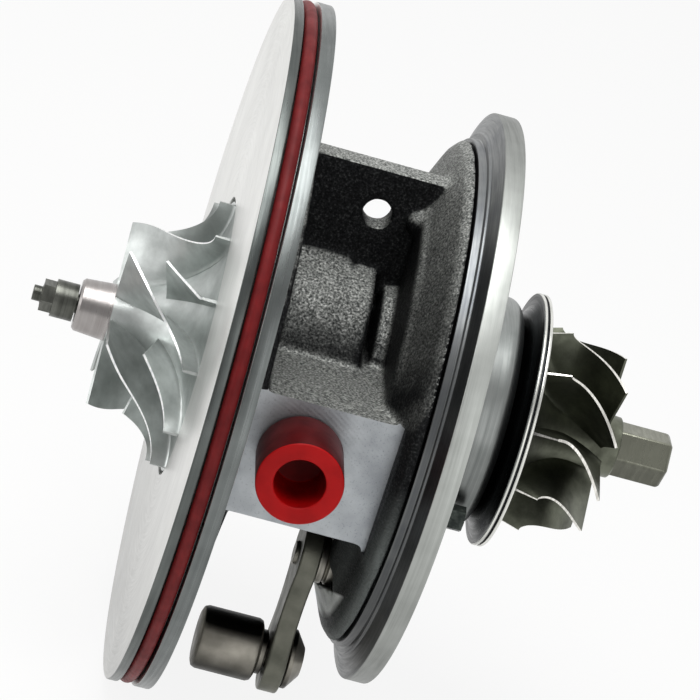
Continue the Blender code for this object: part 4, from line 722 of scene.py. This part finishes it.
def backplate(aluminium, front_lip_painted_shade, rear_lip_painted_shade):
    """The turned plate with its rim groove and wheel pocket."""
    bore, pocket = 5.2, 23.6
    profile = [(-39.5, bore), (-39.5, pocket), (-41.2, pocket), (-41.2, 58.0), (-39.6, 58.0), (-39.6, 55.4),
               (-36.7, 55.4), (-36.7, 58.0), (-34.3, 58.0), (-34.3, 50.0), (-36.5, 50.0), (-36.5, 40.0),
               (-34.3, 40.0), (-34.3, bore)]
    piece = turned("turned_backplate", profile, aluminium, "housing", ("backplate",),
                   0.22, 288)

    # Painted shade: the lips take darker copies of the plate's aluminium.
    def lip(place, normal):
        if math.hypot(place.y, place.z) > LIP_RADIUS and abs(normal.x) < 0.8:
            return 1 if place.x < RIM_MIDDLE_X else 2
        return 0

    share_faces(piece, (front_lip_painted_shade, rear_lip_painted_shade), lip)


def seal_ring(silicone):
    """The round-section ring in the plate's rim groove."""
    low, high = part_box("backplate_seal_ring")
    thickness = (high.x - low.x) / MM
    section = ring_section((low.x + high.x) / 2.0 / MM, high.z / MM - thickness / 2.0, thickness)
    finish("rim_seal", spun_bmesh(section, 256), [silicone], "housing",
           ("backplate_seal_ring",))


def heat_shield(sheet, bead):
    """The dished sheet disc behind the turbine wheel, with a doubled rim."""
    profile = [(10.1, 7.2), (10.1, 16.6), (11.2, 18.6), (12.0, 20.0), (12.0, 21.5), (12.15, 21.66),
               (12.55, 21.66), (12.6, 21.2), (12.9, 21.2), (12.95, 21.66), (13.35, 21.66), (13.5, 21.5),
               (13.5, 20.2), (12.8, 19.4), (11.8, 18.0), (10.8, 16.2), (10.8, 7.2)]
    # Painted shade: the dish's sheet finish is a dark copy that stands in for shade.
    piece = turned("dished_heat_shield", profile, sheet, "housing", ("heat_shield",),
                   0.12, 224)
    share_faces(piece, (bead,), lambda place, _normal: int(math.hypot(place.y, place.z) > BEAD_RADIUS))


# Wheels


def turbine_hub(share):
    """Point on the turbine hub's curve, in millimetres."""
    angle = share * math.pi / 2.0
    return 14.2 + 14.2 * (1.0 - math.cos(angle)), 16.6 - 11.0 * math.sin(angle)


def turbine_tip(share):
    """Point on the turbine blades' outer edge, in millimetres."""
    angle = share * math.pi / 2.0
    return 18.4 + 10.0 * (1.0 - math.cos(angle)), 17.8 - 2.3 * math.sin(angle)


def turbine_turn(_share, x):
    """Turn of a turbine blade at x, in degrees."""
    share = max(0.0, (x - 19.5) / (28.4 - 19.5))
    return TURBINE["wrap"] * share ** TURBINE["power"]


def compressor_hub(share):
    """Point on the compressor hub's curve, in millimetres."""
    angle = share * math.pi / 2.0
    return -55.8 + 14.9 * math.sin(angle), 22.9 - 18.1 * math.cos(angle)


def compressor_tip(share):
    """Point on the compressor blades' outer edge, in millimetres."""
    if share < 0.28:
        return -55.8 + 4.8 * share / 0.28, 15.6
    angle = (share - 0.28) / 0.72 * math.pi / 2.0
    return -51.0 + 7.4 * math.sin(angle), 22.9 - 7.3 * math.cos(angle)


def compressor_turn(share, _x):
    """Turn of a compressor blade, in degrees."""
    return COMPRESSOR["wrap"] * (1.0 - (1.0 - share) ** COMPRESSOR["power"])


def blade_point(hub, tip, turn, share, span):
    """Point on a blade's middle surface, in millimetres, for a blade that starts at no angle."""
    hub_x, hub_radius = hub(share)
    tip_x, tip_radius = tip(share)
    x = hub_x + (tip_x - hub_x) * span
    radius = hub_radius + (tip_radius - hub_radius) * span
    angle = math.radians(turn(share, x))
    return Vector((x, radius * math.cos(angle), radius * math.sin(angle)))


def blade_half(share, span, sizes):
    """Half the blade's thickness: flared into the hub, thinner at the tip and towards its inlet edge."""
    flare = max(0.0, 1.0 - max(span, 0.0) / ROOT_FLARE_SPAN) ** 2 * ROOT_FLARE
    inlet = min(1.0, sizes["inlet"] + (1.0 - sizes["inlet"]) * share / INLET_TAPER_SHARE)
    return sizes["thickness"] / 2.0 * (1.0 - sizes["tip"] * max(span, 0.0) + flare) * inlet


def blade_object(name, hub, tip, turn, sizes, first=0.0):
    """One closed blade; an attribute marks the faces of its turned edge."""
    data = bmesh.new()
    layer = data.faces.layers.bool.new("turned_edge")
    rows, spans, small = sizes["rows"], sizes["spans"], 1e-3
    levels = [-ROOT_DEPTH] + [(step / (spans - 1)) ** 1.3 for step in range(spans)]
    skins = []
    for side in (-1.0, 1.0):
        skin = []
        for row in range(rows + 1):
            share = first + (1.0 - first) * row / rows
            line = []
            for span in levels:
                along = (blade_point(hub, tip, turn, min(share + small, 1.0), span)
                         - blade_point(hub, tip, turn, max(share - small, 0.0), span))
                across = (blade_point(hub, tip, turn, share, span + small)
                          - blade_point(hub, tip, turn, share, span - small))
                normal = along.cross(across).normalized()
                point = blade_point(hub, tip, turn, share, span)
                line.append(data.verts.new((point + normal * side * blade_half(share, span, sizes)) * MM))
            skin.append(line)
        skins.append(skin)
    under, over = skins
    for row in range(rows):
        for level in range(len(levels) - 1):
            for skin in (under, over):
                data.faces.new([skin[row][level], skin[row + 1][level],
                                skin[row + 1][level + 1], skin[row][level + 1]])
    last = len(levels) - 1
    border = [(row, 0) for row in range(rows)] + [(rows, level) for level in range(last)]
    border += [(row, last) for row in range(rows, 0, -1)] + [(0, level) for level in range(last, 0, -1)]
    for index, (row, level) in enumerate(border):
        next_row, next_level = border[(index + 1) % len(border)]
        face = data.faces.new([under[row][level], under[next_row][next_level],
                               over[next_row][next_level], over[row][level]])
        on_inlet = sizes["turned_inlet"] and row == 0 and next_row == 0
        face[layer] = (level == last and next_level == last) or on_inlet
    bmesh.ops.recalc_face_normals(data, faces=data.faces)
    return plain_object(name, data)


def wheel_tree():
    """Geometry nodes that set one blade round the shaft and give it its two finishes."""
    tree = bpy.data.node_groups.new("blades_round_shaft", "GeometryNodeTree")
    tree.is_modifier = True
    for name, kind in (("Geometry", "Geometry"), ("Blade Count", "Int"), ("Start Angle", "Float"),
                       ("Cast Finish", "Material"), ("Edge Finish", "Material")):
        tree.interface.new_socket(name, in_out="INPUT", socket_type="NodeSocket" + kind)
    tree.interface.new_socket("Geometry", in_out="OUTPUT", socket_type="NodeSocketGeometry")
    given = add(tree, "NodeGroupInput").outputs
    points = add(tree, "GeometryNodeMeshLine", {"mode": "OFFSET"}, {
        "Count": given["Blade Count"], "Offset": (0.0, 0.0, 0.0)})
    index = add(tree, "GeometryNodeInputIndex")
    share = maths(tree, "DIVIDE", index.outputs[0], given["Blade Count"])
    angle = maths(tree, "MULTIPLY_ADD", share, math.tau, given["Start Angle"])
    turn = add(tree, "ShaderNodeCombineXYZ", inputs={"X": angle})
    rotation = add(tree, "FunctionNodeEulerToRotation", inputs={0: turn.outputs[0]})
    blades = add(tree, "GeometryNodeInstanceOnPoints", inputs={
        "Points": points.outputs["Mesh"], "Instance": given["Geometry"], "Rotation": rotation.outputs[0]})
    real = add(tree, "GeometryNodeRealizeInstances", inputs={"Geometry": blades.outputs["Instances"]})
    cast = add(tree, "GeometryNodeSetMaterial", inputs={
        "Geometry": real.outputs["Geometry"], "Material": given["Cast Finish"]})
    marked = add(tree, "GeometryNodeInputNamedAttribute", {"data_type": "BOOLEAN"}, {"Name": "turned_edge"})
    edged = add(tree, "GeometryNodeSetMaterial", inputs={
        "Geometry": cast.outputs["Geometry"], "Selection": marked.outputs["Attribute"],
        "Material": given["Edge Finish"]})
    add(tree, "NodeGroupOutput", inputs={"Geometry": edged.outputs["Geometry"]})
    return tree


def bladed(blade, tree, count, start, cast, edge, node):
    """Bake a ring of blades to a plain mesh on the rotor."""
    modifier = blade.modifiers.new("ring_of_blades", "NODES")
    modifier.node_group = tree
    values = {"Blade Count": count, "Start Angle": math.radians(start), "Cast Finish": cast,
              "Edge Finish": edge}
    for item in tree.interface.items_tree:
        if item.in_out == "INPUT" and item.name in values:
            modifier[item.identifier] = values[item.name]
    apply_modifiers(blade)
    shade(blade)
    return settle(blade, "rotor", (node,))


def turbine_wheel(tree, cast, edge, hexagon_finish):
    """Ten swept blades on a waisted hub, with a hexagon nose."""
    blade = blade_object("turbine_blades", turbine_hub, turbine_tip, turbine_turn, TURBINE)
    bladed(blade, tree, TURBINE["blades"], TURBINE["start"], cast, edge, "turbine_wheel")
    hub = [(12.3, 0.0), (12.3, 6.8), (13.8, 16.2), (14.2, 16.6)]
    hub += [turbine_hub(row / 24) for row in range(1, 25)]
    hub += [(29.2, 5.45), (30.2, 5.25), (31.0, 5.2), (31.2, 5.0), (31.2, 0.0)]
    finish("turbine_hub", spun_bmesh(hub, 96), [cast], "rotor", ("turbine_wheel",))
    nose = [(30.0, 0.0), (30.0, 4.7), (39.7, 4.7), (40.2, 4.2), (40.2, 0.0)]
    piece = finish("turbine_hexagon", spun_bmesh(nose, 6), [hexagon_finish], "rotor",
                   ("turbine_wheel",))
    break_edges(piece, 0.25, 3)


def compressor_wheel(tree, cast, edge, nose):
    """Six blades and six splitters on a flared hub with a turned nose."""
    for name, start, first in (("compressor_blades", 0.0, 0.0), ("compressor_splitters", 30.0, 0.36)):
        blade = blade_object(name, compressor_hub, compressor_tip, compressor_turn, COMPRESSOR, first)
        bladed(blade, tree, COMPRESSOR["blades"], COMPRESSOR["start"] + start, cast, edge,
               "compressor_wheel")
    hub = [(-40.1, 1.9), (-40.1, 22.9), (-40.9, 22.9)]
    hub += [compressor_hub(1.0 - row / 28) for row in range(1, 29)]
    hub += [(-61.0, 4.4), (-61.4, 4.0), (-61.4, 1.9)]
    piece = finish("compressor_hub", spun_bmesh(hub, 128), [cast], "rotor",
                   ("compressor_wheel",))
    share_faces(piece, (nose,), lambda place, _normal: int(place.x < WHEEL_NOSE_X))


# Lever and plug


def link_outline(first, first_radius, second, second_radius, waist, steps=28):
    """Outline of a link with two round ends and hollowed sides, in millimetres."""
    first, second = Vector(first), Vector(second)
    axis = (second - first).normalized()
    side = Vector((-axis.y, axis.x))
    heading = math.atan2(axis.y, axis.x)
    points = []
    here, there = (first, first_radius, heading + math.pi), (second, second_radius, heading)
    for sign, near, far in ((-1.0, here, there), (1.0, there, here)):
        centre, radius, outward = near
        for step in range(steps + 1):
            angle = outward - LINK_SWEEP / 2.0 + LINK_SWEEP * step / steps
            points.append(centre + Vector((math.cos(angle), math.sin(angle))) * radius)
        start = points[-1]
        end, end_radius, angle = far[0], far[1], far[2] - LINK_SWEEP / 2.0
        target = end + Vector((math.cos(angle), math.sin(angle))) * end_radius
        middle = (first + second) / 2.0 + side * sign * waist
        control = middle * 2.0 - (start + target) / 2.0
        for step in range(1, 12):
            share = step / 12.0
            points.append(start.lerp(control, share).lerp(control.lerp(target, share), share))
    return points


def slab(name, outline, x_span, material, body, node, break_width=0.35):
    """A flat piece across the shaft's direction, with rounded edges."""
    data = bmesh.new()
    under = [data.verts.new((x_span[0] * MM, y * MM, z * MM)) for y, z in outline]
    over = [data.verts.new((x_span[1] * MM, y * MM, z * MM)) for y, z in outline]
    data.faces.new(under)
    data.faces.new(list(reversed(over)))
    for index in range(len(outline)):
        after = (index + 1) % len(outline)
        data.faces.new([under[index], over[index], over[after], under[after]])
    bmesh.ops.recalc_face_normals(data, faces=data.faces)
    piece = finish(name, data, [material], body, (node,))
    break_edges(piece, break_width, 3, 50.0)


def inlet_plug(front, side, inside):
    """The red plug in the oil inlet: a round cap with a blind hole, and a stem in the bore."""
    low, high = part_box("oil_inlet_plug")
    centre = (low + high) / 2.0
    out = Matrix.Translation((centre.x, 0.0, centre.z)) @ Matrix.Rotation(math.radians(-90.0), 4, "Z")
    base, mouth, stem = -PAD_FACE_Y + 0.3, -low.y / MM - PLUG_MOUTH_CUT, -high.y / MM
    floor = mouth - 9.5
    profile = [(mouth, PLUG_BORE_RADIUS), (mouth, 6.85), (base, 6.85), (base, 4.7), (stem, 4.7), (stem, 0.0),
               (floor, 0.0), (floor, PLUG_BORE_RADIUS)]
    piece = turned("inlet_plug", profile, front, "inlet_plug", ("oil_inlet_plug",),
                   0.45, 96, out)

    def part(place, normal):
        if math.hypot(place.x - centre.x / MM, place.z - centre.z / MM) < PLUG_BORE_RADIUS + 0.05:
            return 2
        # Painted shade: the sides take a darker copy of the red plastic.
        return int(normal.y > -0.35)

    share_faces(piece, (side, inside), part)


def centre_of(node):
    """Middle of a CAD node's box, in millimetres."""
    low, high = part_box(node)
    return (low + high) / 2.0 / MM


def lever(forging, bush):
    """The vane lever's arm, and the grooved collar between it and the flange."""
    spindle, pin = centre_of("lever_spindle"), centre_of("lever_pin")
    arm_low, arm_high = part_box("lever_arm")
    outline = link_outline((spindle.y, spindle.z), 6.4, (pin.y, pin.z), 6.2, 4.2)
    slab("forged_arm", outline, (arm_low.x / MM, arm_high.x / MM), forging, "lever",
         "lever_arm")
    start, end = arm_high.x / MM + 0.15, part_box("spindle_bush")[0].x / MM - 0.15
    groove = (start + end) / 2.0
    collar = [(start, 1.5), (start, 4.0), (groove - 0.35, 4.0), (groove, 3.5), (groove + 0.35, 4.0),
              (end, 4.0), (end, 1.5)]
    place = Matrix.Translation((0.0, spindle.y * MM, spindle.z * MM))
    turned("spindle_collar", collar, bush, "lever", ("lever_spindle",), 0.12, 64, place)


# Floor, light and camera


def white_floor():
    """A matt pale floor that looks white to the camera and in the metal."""
    data = bmesh.new()
    bmesh.ops.create_grid(data, x_segments=1, y_segments=1, size=3.0)
    floor = plain_object("floor", data)
    for vert in floor.data.vertices:
        vert.co.z = CAD_BOX[0].z - 0.0002
    material, tree, shader = new_material("floor_paper", Base_Color=srgb("#f0f0ee"), Roughness=0.9,
                                          Specular_IOR_Level=0.0)
    rays = add(tree, "ShaderNodeLightPath").outputs
    seen = maths(tree, "MAXIMUM", rays["Is Camera Ray"], rays["Is Glossy Ray"])
    seen = maths(tree, "MAXIMUM", seen, rays["Is Transmission Ray"])
    glow = add(tree, "ShaderNodeEmission", inputs={"Color": WHITE, "Strength": 1.0})
    mixed = add(tree, "ShaderNodeMixShader", inputs={
        0: times(tree, seen, 0.88), 1: shader.outputs["BSDF"], 2: glow.outputs[0]})
    output = [node for node in tree.nodes if node.type == "OUTPUT_MATERIAL"][0]
    tree.links.new(mixed.outputs[0], output.inputs["Surface"])
    floor.data.materials.append(material)


def white_surround():
    """White to the camera, dimmer in the metal towards the viewer's side, and half as bright as a lamp."""
    world = bpy.data.worlds.new("studio")
    bpy.context.scene.world = world
    world.use_nodes = True
    tree = world.node_tree
    tree.nodes.clear()
    rays = add(tree, "ShaderNodeLightPath").outputs
    direction = component(tree, add(tree, "ShaderNodeTexCoord").outputs["Generated"], "Y")
    backdrop = spread(tree, direction, 0.30, 1.0, -0.85, 0.0)
    mirrored = maths(tree, "MAXIMUM", rays["Is Glossy Ray"], rays["Is Transmission Ray"])
    level = spread(tree, mirrored, 0.50, 1.0, 0.0, 1.0)
    strength = maths(tree, "MAXIMUM", times(tree, backdrop, level), rays["Is Camera Ray"])
    sky = add(tree, "ShaderNodeBackground", inputs={"Color": WHITE, "Strength": strength})
    add(tree, "ShaderNodeOutputWorld", inputs={"Surface": sky.outputs[0]})


def softboxes():
    """Three soft lamps that look at the middle of the part."""
    for name, place, power, size in (("top_softbox", (-0.10, -0.12, 0.62), 3.0, 0.45),
                                     ("front_softbox", (0.25, -0.70, 0.16), 0.9, 0.5),
                                     ("left_softbox", (-0.65, -0.15, 0.25), 1.0, 0.5)):
        lamp = bpy.data.lights.new(name, "AREA")
        lamp.energy = power
        lamp.size = size
        light = bpy.data.objects.new(name, lamp)
        light.location = place
        light.rotation_euler = (-Vector(place)).to_track_quat("-Z", "Y").to_euler()
        bpy.context.scene.collection.objects.link(light)


def camera():
    """The camera that the view is taken with."""
    lens = bpy.data.cameras.new("view")
    lens.lens = CAMERA_LENS
    lens.sensor_width = CAMERA_SENSOR
    lens.clip_start = 0.01
    lens.clip_end = 10.0
    view = bpy.data.objects.new("view", lens)
    view.matrix_world = Matrix(CAMERA_PLACE)
    bpy.context.scene.collection.objects.link(view)
    bpy.context.scene.camera = view


def paint(material, *nodes):
    """Give CAD nodes that keep their own shape a finish."""
    for node in nodes:
        mesh_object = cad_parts[node]
        mesh_object.data.materials.clear()
        mesh_object.data.materials.append(material)


camera()
white_floor()
white_surround()
softboxes()

iron = sand_cast_iron()
milled = milled_iron()
# Painted shade: some turned finishes below darken what faces away from a lit side, and some what lies low.
rim_finish = lathe_turned("turned_iron", "#c2c5c1", "#a3a6a2", 0.42, 2.2, away_shade=0.20, low_shade=0.5,
                          wiped_and_lit_side=(0.0, -1.0, 0.0))
# Painted shade on the ring's band, strongest on what faces away from the light.
band_finish = lathe_turned("turned_iron_band_shaded", "#8d8f8e", "#63666a", 0.36, 2.2, away_shade=0.25)
nose_finish = lathe_turned("turned_nose", "#a0a3a1", "#7b7f7d", 0.36, 2.0, away_shade=0.60)
plate_finish = lathe_turned("turned_aluminium", "#ededea", "#dcdcd9", 0.34, 2.4, low_shade=0.60)
# Painted shade: the plate's lips are darker copies of its aluminium.
front_lip_painted_shade = lathe_turned("turned_aluminium_front_lip", "#676b69", "#4a4e4d", 0.30, 2.4)
rear_lip_painted_shade = lathe_turned("turned_aluminium_rear_lip", "#7f8382", "#646867", 0.30, 2.4, away_shade=0.85)
wheel_cast = satin_cast("cast_aluminium", "#cbcfcd", "#b0b4b2", 0.38)
wheel_nose = lathe_turned("turned_wheel_nose", "#b4b0ae", "#8f8a88", 0.30, 0.9)
wheel_edge = cut_edge("turned_blade_edge", "#fafaf8", "#dcdfe0")
alloy_cast = satin_cast("nickel_alloy", "#6d7063", "#4d4f45", 0.42)
alloy_edge = cut_edge("turned_alloy_edge", "#f2f0ea", "#c9c7c0")
alloy_nose = lathe_turned("machined_nickel_alloy", "#8c8d80", "#67685d", 0.30, 1.2, away_shade=0.42)
ground = lathe_turned("ground_steel", "#b4b4b0", "#9a9a96", 0.26)
bush_finish = lathe_turned("turned_bush", "#b5b2a8", "#5d5b55", 0.40, 1.6, axis=SPINDLE_YZ)
nut_steel = lathe_turned("oiled_nut_steel", "#7b7c76", "#30312d", 0.32, 0.8)
dark = blackened_steel()
forging = oiled_forging("oiled_forging", "#6f6f65", "#595a51")
# Painted reflection and shade on the pin's forging.
pin_finish = oiled_forging("forging_painted_dark_top", "#a09c92", "#827f76", painted_dark_top=True)
# Painted shade: the heat shield's sheet is a dark copy of stainless steel.
sheet = lathe_turned("stainless_sheet", "#4a4d4f", "#2a2d30", 0.30, 1.2, away_shade=0.35)
bead = cut_edge("rolled_sheet_bead", "#e4e4de", "#b9bab5", 0.28)
bronze = lathe_turned("bearing_bronze", "#c79a55", "#9a7136", 0.32)
silicone = silicone_ring()
rubber = black_rubber()
plug_front = moulded_polyethylene("moulded_polyethylene", "#b40b0e", "#a3080b")
# Painted shade: the plug's sides are a darker copy of its red plastic.
plug_shaded_side = moulded_polyethylene("moulded_polyethylene_shaded_side", "#560408", "#3c0205")
plug_inside = moulded_polyethylene("moulded_polyethylene_bore", "#b00508", "#900406", deep=True)

housing_casting(iron, milled)
housing_turnings(rim_finish, band_finish, nose_finish)
backplate(plate_finish, front_lip_painted_shade, rear_lip_painted_shade)
seal_ring(silicone)
heat_shield(sheet, bead)
blade_tree = wheel_tree()
turbine_wheel(blade_tree, alloy_cast, alloy_edge, alloy_nose)
compressor_wheel(blade_tree, wheel_cast, wheel_edge, wheel_nose)
lever(forging, bush_finish)
bevelled_copy("spindle", "lever_spindle", bush_finish, "lever", 0.2)
bevelled_copy("lever_end_pin", "lever_pin", pin_finish, "lever", 0.2)
bevelled_copy("vane_crank", "inner_crank", dark, "lever", 0.2)
bevelled_copy("shaft_end_nut", "shaft_nut", nut_steel, "rotor", 0.15)
bevelled_copy("rotor_spindle", "rotor_shaft", nut_steel, "rotor", 0.1)
bevelled_copy("pressed_bush", "spindle_bush", bush_finish, "housing", 0.2)
inlet_plug(plug_front, plug_shaded_side, plug_inside)
paint(dark, "backplate_screw_1", "backplate_screw_2", "backplate_screw_3", "compressor_piston_ring",
      "turbine_piston_ring", "bearing_circlip_1", "bearing_circlip_2", "bearing_circlip_3")
paint(rubber, "housing_seal_ring")
paint(bronze, "thrust_bearing", "journal_bearing_compressor", "journal_bearing_turbine")
paint(sheet, "oil_deflector")
paint(ground, "thrust_collar", "oil_flinger")

bpy.context.scene.view_settings.view_transform = "Standard"
